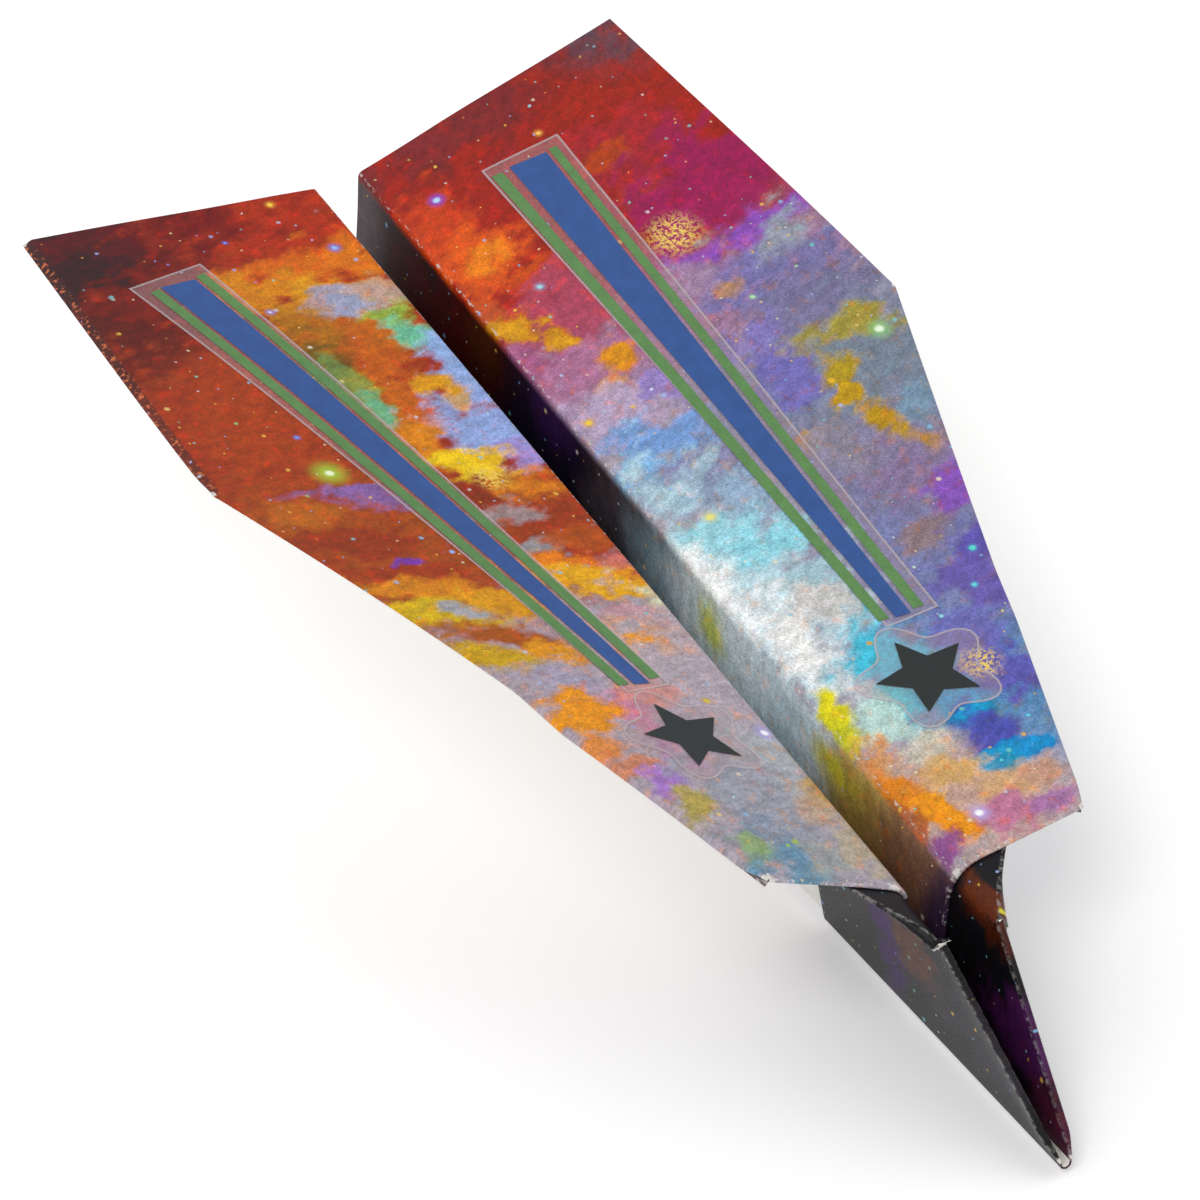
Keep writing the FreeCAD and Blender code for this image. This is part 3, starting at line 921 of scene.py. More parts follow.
@dataclass(frozen=True)
class NebulaPrint:
    """The printed face: drifting clouds of colour, stars, and a fine ripple grain, with painted shade and sheen on
    the body walls.
    """

    name: str
    side: Side | None
    roughness: float = 0.5
    saturation: float = 1.14

    def clouds(self, board: Board, colour: Signal, place: Signal, ragged: Signal, which: Sequence[Cloud]) -> Signal:
        """Lays soft patches over a colour.

        Args:
            board: The material's nodes.
            colour: The colour under them.
            place: Drifted places on the sheet.
            ragged: Unevenness of the patches' rims, about zero.
            which: The patches, the uppermost last.

        Returns:
            The colour with the patches.
        """
        for cloud in which:
            inputs = {
                "Vector": board.moved(place, colour, 0.6),
                "Location": (cloud.x, cloud.y, 0.0),
                "Rotation": (0.0, 0.0, math.radians(cloud.turn)),
                "Scale": (cloud.long, cloud.wide, FLAT),
            }
            local = board.add("ShaderNodeMapping", {"vector_type": "TEXTURE"}, inputs)
            distance = board.add("ShaderNodeVectorMath", {"operation": "LENGTH"}, {0: local}, "Value")
            distance = distance + ragged * cloud.ragged
            share = distance.between(1.0 + cloud.soft, 1.0 - cloud.soft, 0.0, cloud.strength)
            colour = board.mix(share, colour, linear(cloud.colour))
        return colour

    def channel(self, board: Board, colour: Signal, place: Signal, parts: tuple[Signal, Signal],
                ragged: Signal) -> Signal:
        """Lays the darker colour of the body walls, the same on both sides, between the wing creases: partly print,
        partly painted shade of the channel between the walls, with a painted sheen at the tail.

        Args:
            board: The material's nodes.
            colour: The wings' colour.
            place: Places on the sheet.
            parts: Their first two coordinates.
            ragged: Unevenness of the patches' rims, about zero.

        Returns:
            The colour of wings and walls.
        """
        x, across = parts[0], abs(parts[1])
        inside = (across - (50.2 - x * 0.105)).between(0.6, -1.4) * (x < 200.0)
        mirrored = board.add("ShaderNodeCombineXYZ", {}, {0: x, 1: across, 2: 0.0})
        mirrored = board.moved(mirrored, board.noise_vector(place, 0.09, 3.0), 7.0)
        walls = self.clouds(board, colour, mirrored, ragged * 0.5, CHANNEL_PRINT_AND_SHADE)
        return board.mix(inside, colour, walls)

    def on_this_print(self, glow: Glow) -> bool:
        """Whether a named star lies on this print."""
        on_nose = glow.x > NOSE_PRINT
        return on_nose if self.side is None else not on_nose and glow.y * self.side.value > 0

    def glows(self, board: Board, colour: Signal, place: Signal) -> Signal:
        """Adds the named stars to a colour.

        Args:
            board: The material's nodes.
            colour: The colour below.
            place: Places on the sheet.

        Returns:
            The colour with the stars.
        """
        for glow in filter(self.on_this_print, GLOWS):
            distance = board.distance(board.moved(place, colour, 0.05), glow.x, glow.y)
            if glow.halo:
                colour = board.mix(distance.between(glow.halo, 0.0, 0.0, 0.9), colour, linear(glow.halo_colour))
            share = distance.between(glow.core, glow.core * 0.3, 0.0, 0.95)
            colour = board.mix(share, colour, linear(glow.colour))
        return colour

    def speckled(self, board: Board, colour: Signal, place: Signal) -> Signal:
        """Adds the patches of fine flecks.

        Args:
            board: The material's nodes.
            colour: The colour below.
            place: Places on the sheet.

        Returns:
            The colour with the flecks.
        """
        flecks = board.noise(place, 1.25, 3.0, 0.7).between(0.44, 0.56)
        for patch in (one for one in SPECKLES if one.side is self.side):
            distance = board.distance(place, patch.x, patch.y)
            share = distance.between(patch.radius, patch.radius * 0.25) * flecks
            colour = board.mix(share, colour, linear("f3cf62"))
        return colour

    def worn_edge(self, board: Board, colour: Signal, wear: Signal, x: Signal, across: Signal) -> Signal:
        """Darkens and chips the narrow bent band along the starboard wing's outer edge.

        Args:
            board: The material's nodes.
            colour: The colour below.
            wear: Noise that says where the paper is worn.
            x: Distances from the tail.
            across: Distances from the keel, without sign.

        Returns:
            The colour with the worn band.
        """
        if self.side is not Side.STARBOARD:
            return colour
        sheet = FoldedSheet()
        band = (across - (sheet.half - sheet.edge_band)).between(-0.2, 0.2) * (x < sheet.kink)
        colour = board.mix(band * 0.65, colour, linear("3a1716"))
        return board.mix(band * wear.between(0.54, 0.62), colour, linear("c9683a"))

    def specks(self, board: Board, colour: Signal, place: Signal, spacing: float, size: float) -> Signal:
        """Scatters small stars of a few hues.

        Args:
            board: The material's nodes.
            colour: The colour below.
            place: Places on the sheet.
            spacing: Distance between neighbouring stars.
            size: Greatest radius of a star.

        Returns:
            The colour with the stars.
        """
        inputs = {"Vector": place, "Scale": 1 / spacing, "Randomness": 1.0}
        cells = board.node("ShaderNodeTexVoronoi", {"voronoi_dimensions": "2D"}, inputs)
        split = board.node("ShaderNodeSeparateColor", {}, {0: Signal(board, cells.outputs["Color"])})
        chance, hue = Signal(board, split.outputs[0]), Signal(board, split.outputs[1])
        distance = Signal(board, cells.outputs["Distance"]) * spacing
        share = (distance / (chance * size)).between(1.0, 0.2) * (chance > 0.45) * 0.8
        tint = board.node("ShaderNodeValToRGB", {}, {0: hue})
        stops = tint.color_ramp.elements
        for number, (position, code) in enumerate(SPECK_HUES):
            stop = stops[number] if number < 2 else stops.new(position)
            stop.position, stop.color = position, linear(code)
        return board.mix(share, colour, Signal(board, tint.outputs[0]))

    def scuffs(self, board: Board, place: Signal, x: Signal, y: Signal) -> Signal:
        """Share of bare white paper along worn creases, front edges and corners.

        Args:
            board: The material's nodes.
            place: Places on the sheet.
            x: Distances from the tail.
            y: Distances from the keel.

        Returns:
            The share, from 0 to 1.
        """
        across = abs(y)
        sheet = FoldedSheet()
        wear = board.noise(place, 0.9, 4.0, 0.65)
        crease = abs(across - (sheet.reach_at_tail - x * sheet.slope))
        on_crease = crease.between(0.55, 0.1) * wear.between(0.52, 0.62) * (x < sheet.front)
        front_edge = abs(x - sheet.front).between(0.8, 0.2) * wear.between(0.54, 0.64) * (across > 20.0)
        share = (on_crease * 0.75).most(front_edge * 0.8)
        nose_fold = abs(x + across - sheet.length).between(0.8, 0.2) * wear.between(0.44, 0.58)
        share = share.most(nose_fold * (x > NOSE_PRINT + 50.0) * 0.24)
        corners = (
            (sheet.front, -sheet.front_half_width, 1.6),
            (sheet.front, -33.0, 1.3),
            (sheet.front, 31.0, 1.0),
            (sheet.kink, -sheet.half, 0.8),
            (0.0, -sheet.half, 1.0),
            (sheet.front, sheet.front_half_width, 0.6),
            (sheet.kink, sheet.half, 0.5),
            (sheet.length - sheet.tip_blunting, -sheet.tip_blunting, 0.8),
            (sheet.length - sheet.tip_blunting, sheet.tip_blunting, 0.7),
            (sheet.nose_kink + 2 * sheet.pleat_depth, -29.5, 0.75),
        )
        for corner_x, corner_y, size in corners:
            near = board.distance(place, corner_x, corner_y)
            share = share.most((near / size + (wear - 0.5) * 2.6).between(0.9, 0.6) * 0.9)
        return share

    def make(self) -> Material:
        """Builds the material.

        Returns:
            The material.
        """
        board = Board(self.name)
        place = board.place(PLACE)
        x, y = board.parts(place)
        drifted = place
        for scale, detail, reach in DRIFTS:
            drifted = board.moved(drifted, board.noise_vector(place, scale, detail), reach)
        streaky = board.stretched(place, -24.0, (1.0, 0.55, 1.0))
        ragged = (board.noise(streaky, 0.2, 6.0, 0.56) - 0.5) * 3.6
        trembling = board.moved(place, board.noise_vector(place, 1.3, 2.0), 0.5)
        base = board.mix((x - NOSE_PRINT).between(0.0, 4.0), linear("a9a3ae"), linear("131216"))
        colour = self.clouds(board, base, drifted, ragged, PRINTS[self.side])
        if self.side is not None:
            # body walls: dark print with painted shade of the channel between them and a painted sheen at the tail
            colour = self.channel(board, colour, place, (x, y), ragged)
        streak = board.noise(streaky, 0.5, 6.0, 0.6)
        fine = board.noise(place, 1.1, 3.0, 0.6)
        light = streak.between(0.25, 0.75, 0.74, 1.2) * fine.between(0.3, 0.7, 0.88, 1.12)
        ripple_place = board.stretched(place, 38.0, (1.0, 0.6, 1.0))
        ripple = board.noise(ripple_place, 3.4, 1.0, 0.5)
        light = light * ripple.between(0.3, 0.7, 0.82, 1.17)
        colour = board.mix(1.0, colour, board.grey(light), "MULTIPLY")
        colour = board.add("ShaderNodeHueSaturation", {}, {"Saturation": self.saturation, "Color": colour})
        warm = board.noise(board.moved(place, (31.0, 7.0, 3.0), 1.0), 0.35, 5.0, 0.6)
        colour = board.mix(warm.between(0.52, 0.7, 0.0, 0.45), colour, linear("ffb060"), "OVERLAY")
        colour = self.speckled(board, colour, trembling)
        colour = self.worn_edge(board, colour, fine, x, abs(y))
        colour = self.glows(board, colour, trembling)
        colour = self.specks(board, colour, trembling, 11.0, 0.75)
        colour = self.specks(board, colour, board.moved(trembling, (5.3, 2.9, 0.0), 1.0), 4.7, 0.36)
        worn = self.scuffs(board, trembling, x, y)
        fibres = board.noise(place, 3.0, 3.0, 0.6)
        colour = board.mix(worn, colour, board.mix(fibres, linear("c9c2b8"), linear("f6f4f0")))
        rough = ripple.between(0.2, 0.8, self.roughness - 0.06, self.roughness + 0.1) + worn * 0.25
        height = ripple * 0.8 + fine * 0.3
        inputs = {"Base Color": colour, "Roughness": rough, "Normal": board.bump(height, GRAIN_HEIGHT)}
        return board.finish({**inputs, "Specular IOR Level": 0.2 if self.side is None else 0.3})


@dataclass(frozen=True)
class CutEdge:
    """The sheet's cut edge: dark with ink, chipped white in places."""

    name: str = "cut_paper_edge"

    def make(self) -> Material:
        """Builds the material.

        Returns:
            The material.
        """
        board = Board(self.name)
        place = board.place(PLACE)
        tone = board.noise(place, 0.12, 4.0, 0.6)
        chips = board.noise(place, 1.4, 4.0, 0.6).between(0.58, 0.64)
        colour = board.mix(tone.between(0.35, 0.65), linear("5a2c26"), linear("6e6a78"))
        colour = board.mix(chips, colour, linear("ddd7ce"))
        return board.finish({"Base Color": colour, "Roughness": chips.between(0.0, 1.0, 0.62, 0.78)})


@dataclass(frozen=True)
class BlankPaper:
    """The unprinted face: warm white with faint fibres."""

    name: str = "blank_paper"

    def make(self) -> Material:
        """Builds the material.

        Returns:
            The material.
        """
        board = Board(self.name)
        place = board.place(PLACE)
        fibre = board.noise(board.stretched(place, 20.0, (1.0, 0.3, 1.0)), 3.2, 4.0, 0.6)
        cloud = board.noise(place, 0.25, 4.0, 0.55)
        colour = board.mix(cloud.between(0.3, 0.7), linear("eeebe5"), linear("f3f1ec"))
        colour = board.mix(fibre.between(0.55, 0.8, 0.0, 0.15), colour, linear("dcd8d0"))
        rough = fibre.between(0.2, 0.8, 0.62, 0.78)
        return board.finish({"Base Color": colour, "Roughness": rough, "Normal": board.bump(fibre, FIBRE_HEIGHT)})


@dataclass(frozen=True)
class Film:
    """Frosted clear film; a paler, more opaque copy along its cut edge is a painted highlight."""

    name: str
    colour: str
    alpha: float
    roughness: float = 0.34

    def make(self) -> Material:
        """Builds the material.

        Returns:
            The material.
        """
        board = Board(self.name)
        place = board.place(STICKER_PLACE)
        frost = board.noise(place, 1.6, 4.0, 0.6)
        rub = board.noise(board.stretched(place, 60.0, (1.0, 0.12, 1.0)), 1.1, 4.0, 0.6)
        colour = board.mix(frost.between(0.3, 0.7, 0.0, 0.35), linear(self.colour), linear("eee6ea"))
        alpha = frost.between(0.25, 0.75, self.alpha - 0.02, self.alpha + 0.02) + rub.between(0.6, 0.75, 0.0, 0.05)
        rough = rub.between(0.3, 0.7, self.roughness - 0.06, self.roughness + 0.12)
        inputs = {"Base Color": colour, "Alpha": alpha, "Roughness": rough, "Normal": board.bump(frost, FROST_HEIGHT)}
        return board.finish({**inputs, "Specular IOR Level": 0.4})


@dataclass(frozen=True)
class Ink:
    """Solid ink on the film, with a faint fleck and slightly uneven cover."""

    name: str
    colour: str
    fleck: str

    def make(self) -> Material:
        """Builds the material.

        Returns:
            The material.
        """
        board = Board(self.name)
        place = board.place(STICKER_PLACE)
        grain = board.noise(place, 2.4, 3.0, 0.6)
        cover = board.noise(place, 0.3, 4.0, 0.6)
        colour = board.mix(grain.between(0.45, 0.72, 0.0, 0.55), linear(self.colour), linear(self.fleck))
        colour = board.mix(1.0, colour, board.grey(cover.between(0.3, 0.7, 0.9, 1.08)), "MULTIPLY")
        rough = grain.between(0.3, 0.7, 0.42, 0.56)
        return board.finish({"Base Color": colour, "Roughness": rough, "Normal": board.bump(grain, FROST_HEIGHT)})


@dataclass
class Finishes:
    """Every material of the plane."""

    printed: dict[Side, Material]
    dark_printed: Material
    blank: Material
    cut_edge: Material
    film: Material
    film_edge: Material
    blue: Material
    green: Material
    black: Material

    def film_faces(self) -> tuple[Material, ...]:
        """Materials of a film's two faces, then of its rim and its narrow pale border, which carry the painted edge
        highlight.
        """
        return (self.film, self.film, self.film_edge, self.film_edge, self.film_edge)

    @classmethod
    def mixed(cls) -> "Finishes":
        """Makes the materials.

        Returns:
            All of them.
        """
        return cls(
            printed={side: NebulaPrint(f"{side.label}_nebula_print", side).make() for side in Side},
            dark_printed=NebulaPrint("dark_nebula_print", None, 0.36).make(),
            blank=BlankPaper().make(),
            cut_edge=CutEdge().make(),
            film=Film("frosted_film", "cdabb2", 0.12).make(),
            # painted highlight: the film's cut edge and border paler and more opaque, where light catches the edge
            film_edge=Film("film_cut_edge", "d8c8cc", 0.36, 0.25).make(),
            blue=Ink("blue_ink", "234f94", "2d5c9e").make(),
            green=Ink("green_ink", "578649", "6b9a5a").make(),
            black=Ink("black_ink", "151c1c", "222a29").make(),
        )


# --------------------------------------------------------------------------- making pieces


class Bench:
    """Blender's modelling operators, used on one flat piece at a time."""

    @staticmethod
    def clear() -> None:
        """Selects nothing."""
        if bpy.context.object and bpy.context.object.mode != "OBJECT":
            bpy.ops.object.mode_set(mode="OBJECT")
        bpy.ops.object.select_all(action="DESELECT")

    @classmethod
    def grid(cls, name: str, low: tuple[float, float], high: tuple[float, float], cells: tuple[int, int]) -> Any:
        """Adds a flat grid between two corners.

        Args:
            name: The piece's name.
            low: The lowest corner, in millimetres on the sheet.
            high: The highest corner.
            cells: Cells along x and along y.

        Returns:
            The grid's object, in object mode, with its place in its mesh.
        """
        cls.clear()
        bpy.ops.mesh.primitive_grid_add(x_subdivisions=cells[0], y_subdivisions=cells[1], size=1.0)
        made = bpy.context.object
        made.name = made.data.name = name
        made.scale = (high[0] - low[0], high[1] - low[1], 1.0)
        made.location = ((low[0] + high[0]) / 2, (low[1] + high[1]) / 2, 0.0)
        bpy.ops.object.transform_apply(location=True, rotation=True, scale=True)
        return made

    @classmethod
    def cut(cls, made: Any, outline: Outline, keep_outside: bool = False) -> None:
        """Bisects a flat piece along every side of a convex outline.

        Args:
            made: The flat piece.
            outline: The outline's corners, in order.
            keep_outside: Only marks the lines and removes nothing.
        """
        middle = np.mean(np.array(outline), axis=0)
        bpy.ops.object.mode_set(mode="EDIT")
        for start, end in zip(outline, list(outline[1:]) + [outline[0]]):
            away = np.array([end[1] - start[1], start[0] - end[0]])
            if np.linalg.norm(away) < 1e-6:
                continue
            if away.dot(middle - np.array(start)) > 0:
                away = -away
            away = away / np.linalg.norm(away)
            bpy.ops.mesh.select_all(action="SELECT")
            bpy.ops.mesh.bisect(
                plane_co=(start[0], start[1], 0.0),
                plane_no=(away[0], away[1], 0.0),
                clear_outer=not keep_outside,
                threshold=1e-5,
            )
        bpy.ops.object.mode_set(mode="OBJECT")

    @staticmethod
    def flat_places(made: Any) -> np.ndarray:
        """The vertices' coordinates.

        Args:
            made: The piece.

        Returns:
            One row of three for each vertex.
        """
        places = np.zeros(len(made.data.vertices) * 3)
        made.data.vertices.foreach_get("co", places)
        return places.reshape(-1, 3)

    @staticmethod
    def store(made: Any, name: str, values: np.ndarray) -> None:
        """Keeps a place for every vertex, for the materials."""
        attribute = made.data.attributes.new(name, "FLOAT_VECTOR", "POINT")
        attribute.data.foreach_set("vector", values.astype(np.float32).ravel())

    @staticmethod
    def move(made: Any, points: np.ndarray) -> None:
        """Puts every vertex at its point."""
        made.data.vertices.foreach_set("co", points.astype(np.float32).ravel())
        made.data.update()

    @classmethod
    def thicken(cls, made: Any, thickness: float) -> None:
        """Gives a folded piece its thickness; materials 2 and 3 are its other face and rim.

        Args:
            made: The piece, whose faces are its upper face.
            thickness: The thickness, in millimetres.
        """
        cls.clear()
        made.select_set(True)
        bpy.context.view_layer.objects.active = made
        solid = made.modifiers.new("paper thickness", "SOLIDIFY")
        solid.thickness = thickness * MM
        solid.offset = -1.0
        solid.material_offset = 1
        solid.material_offset_rim = 2
        bpy.ops.object.modifier_apply(modifier=solid.name)
        bpy.ops.object.shade_smooth_by_angle(angle=SMOOTH_ANGLE)

    @staticmethod
    def dress(made: Any, *finishes: Material) -> None:
        """Fills the piece's material slots."""
        for finish in finishes:
            made.data.materials.append(finish)


def on_side(outline: Outline, side: Side) -> list[tuple[float, float]]:
    """Outline with y on the given side of the sheet."""
    return [(x, y * side.value) for x, y in outline]


@dataclass
class PaperPlane:
    """The whole plane: its paper, fold by fold, and its stickers."""

    sheet: FoldedSheet
    finishes: Finishes
    keel_strip: float = 1.2
    fine_step: float = 1.6
    nose_step: float = 2.0
    hidden_step: float = 4.0
    flap_step: float = 2.4
    flap_setback: float = 0.5
    fold_turns: int = 10
    bend_share: float = 0.72
    keel_bend: float = 0.35
    nose_keel_depth: float = 0.6
    pleat_fold_end: float = 3.4
    nose_fold_start: float = 3.6
    corner_flatness: float = 0.7
    corner_ease: float = 5.0
    tip_turn: float = 0.8
    pieces: int = 0

    # ---- helpers

    def strip_half(self, side: Side, layer: Layer) -> float:
        """Half-width of the piece that holds a layer's rounded wing crease."""
        wide = 6.0 if side is Side.PORT else 2.4
        return wide + 2.4 * layer.value * self.sheet.pitch

    def faces(self, layer: Layer, side: Side) -> tuple[Material, ...]:
        """Materials of a layer's upper face, lower face and cut edge.

        Args:
            layer: The layer of paper.
            side: The side of the plane.

        Returns:
            The three materials.
        """
        finishes = self.finishes
        dark = layer in (Layer.NOSE_INNER, Layer.NOSE_OUTER)
        printed = finishes.dark_printed if dark else finishes.printed[side]
        pair = (printed, finishes.blank) if layer.printed_above else (finishes.blank, printed)
        return (*pair, printed if dark else finishes.cut_edge)

    def lay(self, name: str, side: Side, layer: Layer, outline: Outline, step: tuple[float, float],
            depth: DepthRule | None = None) -> Any:
        """Makes one paper panel.

        Args:
            name: The piece's name.
            side: The side of the plane.
            layer: The layer of paper.
            outline: Its convex outline on the folded sheet, y positive.
            step: Largest cell along x and y.
            depth: Depth of the upper face, if it isn't the layer's own.

        Returns:
            The panel's object.
        """
        outline = on_side(outline, side)
        low = tuple(min(c[i] for c in outline) for i in (0, 1))
        high = tuple(max(c[i] for c in outline) for i in (0, 1))
        cells = tuple(max(2, math.ceil((high[i] - low[i]) / step[i])) for i in (0, 1))
        panel = Bench.grid(name, low, high, cells)
        Bench.cut(panel, outline)
        flat = Bench.flat_places(panel)
        x, y = flat[:, 0], flat[:, 1]
        depths = depth(x, y) if depth else np.full_like(x, layer.value * self.sheet.pitch)
        Bench.store(panel, PLACE, self.sheet.sheet_place(layer, x, y))
        Bench.move(panel, self.sheet.fold(x, y, depths))
        Bench.dress(panel, *self.faces(layer, side))
        Bench.thicken(panel, self.sheet.paper)
        return panel

    def note(self, piece: Any, slot: str, *nodes: str) -> None:
        """Hides the nodes that a piece stands for, counts the piece and logs it.

        Args:
            piece: The piece.
            slot: Its material slot; not used.
            nodes: The nodes that it stands for.
        """
        if nodes:
            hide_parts(*nodes)
        self.pieces += 1
        LOG.info("%s: %d faces", piece.name, len(piece.data.polygons))

    def bend_at_crease(self, piece: Any, side: Side, reach: float) -> None:
        """Bakes a piece's placement into its mesh; the ends of its bend between the body wall and the wing are worked
        out but not applied.

        Args:
            piece: The finished piece.
            side: The side of the plane.
            reach: Distance each way from the crease over which it would turn.
        """
        sheet = self.sheet
        at = np.array([sheet.front / 2])
        corner = sheet.crease_point(side, at)[0]
        down = sheet.square_to_crease(side, sheet.keel_point(at)[0] - corner)
        outward = sheet.square_to_crease(side, np.array([side.value, 0.0, 0.0]))
        start, end = (corner + down * reach) * MM, (corner + outward * reach) * MM
        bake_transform(piece)

    @staticmethod
    def clip(outline: Outline, keep: Callable[[float, float], float]) -> list[tuple[float, float]]:
        """Part of a convex outline where a linear function isn't negative.

        Args:
            outline: The outline's corners, in order.
            keep: The linear function of x and y.

        Returns:
            The kept part's corners.
        """
        kept: list[tuple[float, float]] = []
        for start, end in zip(outline, list(outline[1:]) + [outline[0]]):
            at_start, at_end = keep(*start), keep(*end)
            if at_start >= 0:
                kept.append(start)
            if (at_start < 0) != (at_end < 0):
                share = at_start / (at_start - at_end)
                kept.append(tuple(a + (b - a) * share for a, b in zip(start, end)))
        return kept

    # ---- paper layers

    def layer_pieces(self, side: Side, layer: Layer, outline: Outline, crease: str,
                     nodes: tuple[str, str], slot: str, step: tuple[float, float],
                     depth: DepthRule | None = None) -> None:
        """Makes a layer's body wall, crease strip and wing.

        Args:
            side: The side of the plane.
            layer: The layer of paper.
            outline: The whole layer's outline on one side.
            crease: Name of the crease strip.
            nodes: The wall's and the wing part's nodes.
            slot: Their material slot.
            step: Largest cell along x and y.
            depth: Depth of the upper face, if it isn't the layer's own.
        """
        sheet, half = self.sheet, self.strip_half(side, layer)
        limited = self.clip(outline, lambda x, y: sheet.corner_line(x) - y)
        wall = self.clip(limited, lambda x, y: sheet.reach(x) - half - y)
        wall = self.clip(wall, lambda x, y: y - self.keel_strip)
        strip = self.clip(limited, lambda x, y: y - sheet.reach(x) + half)
        strip = self.clip(strip, lambda x, y: sheet.reach(x) + half - y)
        wing = self.clip(limited, lambda x, y: y - sheet.reach(x) - half)
        wall_piece = self.lay(f"{nodes[0]}_paper", side, layer, wall, step, depth)
        self.note(wall_piece, slot, nodes[0])
        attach(wall_piece, f"{side.label}_side")
        strip_piece = self.lay(crease, side, layer, strip, (step[0], min(0.45, half / 5)), depth)
        self.note(strip_piece, slot)
        self.bend_at_crease(strip_piece, side, half * self.bend_share)
        wing_piece = self.lay(f"{nodes[1]}_paper", side, layer, wing, step, depth)
        self.note(wing_piece, slot, nodes[1])
        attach(wing_piece, f"{side.label}_wing")

    def paper(self, side: Side) -> None:
        """Makes every paper layer of one side.

        Args:
            side: The side of the plane.
        """
        sheet, label = self.sheet, side.label
        upper = [(0, 0), (0, sheet.half), (sheet.kink, sheet.half), (sheet.front, sheet.front_half_width),
                 (sheet.front, 0)]
        pleat_edge = sheet.pleat_back - sheet.front + sheet.half
        pleat = [(sheet.pleat_back, 0), (sheet.pleat_back, pleat_edge), (sheet.front, sheet.half), (sheet.front, 0)]
        nose = [(sheet.pleat_back, 0), (sheet.pleat_back, sheet.apex - sheet.pleat_back),
                (sheet.tip, sheet.tip_blunting), (sheet.tip, 0)]
        fine, coarse, medium = ((step, step) for step in (self.fine_step, self.hidden_step, self.nose_step))
        nodes = (f"{label}_body_wall", f"{label}_wing_panel")
        self.layer_pieces(side, Layer.UPPER_SHEET, upper, f"{label}_wing_crease", nodes, "print_paper", fine)
        for layer, word in ((Layer.PLEAT_UPPER, "upper"), (Layer.PLEAT_LOWER, "lower")):
            wall, wing = f"{label}_pleat_wall_{word}", f"{label}_wing_pleat_{word}"
            self.layer_pieces(side, layer, pleat, f"{label}_pleat_crease_{word}", (wall, wing), "print_paper", coarse)
        for layer, word in ((Layer.NOSE_INNER, "inner"), (Layer.NOSE_OUTER, "outer")):
            wall, wing = f"{label}_nose_wall_{word}", f"{label}_wing_nose_{word}"
            crease = f"{label}_nose_crease_{word}"
            depth = self.outer_nose_depth if layer is Layer.NOSE_OUTER else None
            self.layer_pieces(side, layer, nose, crease, (wall, wing), "dark_print_paper", medium, depth)
        self.flaps(side, pleat)

    def outer_nose_depth(self, x: np.ndarray, y: np.ndarray) -> np.ndarray:
        """Depth of the outer nose layer, which stands off beside its slanted fold."""
        return Layer.NOSE_OUTER.value * self.sheet.pitch + self.sheet.lip_rise(x, y)

    def flap_depth(self, x: np.ndarray, _: np.ndarray) -> np.ndarray:
        """Depth of the corner flap, which is the same all across it."""
        return self.sheet.flap_depth(x)

    def flaps(self, side: Side, pleat: Outline) -> None:
        """Makes the front corner that is folded under a wing, and the pleat's corner in it.

        Args:
            side: The side of the plane.
            pleat: The pleat's outline, y positive.
        """
        sheet, label = self.sheet, side.label
        corner = [(sheet.kink, sheet.half), (sheet.front, sheet.half), (sheet.front, sheet.front_half_width)]
        pleat_corner = sheet.turned_over(self.clip(pleat, lambda x, y: y - sheet.corner_line(x)))
        pieces = (
            (Layer.CORNER_FLAP, "corner_flap", sheet.turned_over(corner), self.flap_step, self.flap_depth),
            (Layer.FLAP_PLEAT_UPPER, "flap_pleat_upper", pleat_corner, self.hidden_step, None),
            (Layer.FLAP_PLEAT_LOWER, "flap_pleat_lower", pleat_corner, self.hidden_step, None),
        )
        front = np.array([sheet.front])
        for layer, word, outline, step, depth in pieces:
            name = f"{label}_{word}"
            setback = sheet.rounding(side, front, np.array([layer.value * sheet.pitch]))[0] + self.flap_setback
            shape = self.clip(outline, lambda x, y: y - sheet.reach(x) - setback)
            piece = self.lay(f"{name}_paper", side, layer, shape, (step, step), depth)
            self.note(piece, "print_paper", name)
            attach(piece, f"{side.label}_wing")

    # ---- folded edges

    def hem(self, name: str, side: Side, length: float, cells: int,
            place: Callable[[np.ndarray, np.ndarray], Rounded], layer: Layer,
            finishes: Sequence[Material]) -> Any:
        """Makes a half-round fold that joins two layers.

        Args:
            name: The piece's name.
            side: The side of the plane.
            length: Length of the fold line.
            cells: Cells along it.
            place: Gives x, positive y and depth for a distance along the line and an angle round it.
            layer: The layer whose print the fold carries.
            finishes: Outer face, inner face and cut edge.

        Returns:
            The fold's object.
        """
        piece = Bench.grid(name, (0.0, 0.0), (length, math.pi), (cells, self.fold_turns))
        flat = Bench.flat_places(piece)
        x, y, depth = place(flat[:, 0], flat[:, 1])
        y = y * side.value
        Bench.store(piece, PLACE, self.sheet.sheet_place(layer, x, y))
        points = self.sheet.fold(x, y, depth)
        Bench.move(piece, points)
        Bench.dress(piece, *finishes)
        self.face_outwards(piece, points, self.sheet.fold(x, y, depth.mean() + 0 * depth))
        Bench.thicken(piece, self.sheet.paper * 0.9)
        return piece

    @staticmethod
    def face_outwards(piece: Any, points: np.ndarray, core: np.ndarray) -> None:
        """Turns a half-round strip's faces away from the line that it goes round.

        Args:
            piece: The piece.
            points: Where its vertices lie.
            core: Where they would lie on the line that the strip goes round.
        """
        mesh = piece.data
        votes = 0.0
        for polygon in mesh.polygons:
            corners = list(polygon.vertices)
            middle = points[corners].mean(axis=0)
            away = middle - core[corners].mean(axis=0)
            votes += float(np.dot(away, np.array(polygon.normal)))
        if votes < 0:
            mesh.flip_normals()

    def edge_faces(self, print_face: Material) -> tuple[Material, ...]:
        """Materials of a fold's outer face, inner face and cut edge."""
        return (print_face, self.finishes.blank, self.finishes.cut_edge)

    def folded_edges(self, side: Side) -> None:
        """Makes the rounded folds of one side: front edge, pleat back, corner and nose.

        Args:
            side: The side of the plane.
        """
        self.front_fold(side)
        self.pleat_fold(side)
        self.corner_fold(side)
        self.nose_fold(side)

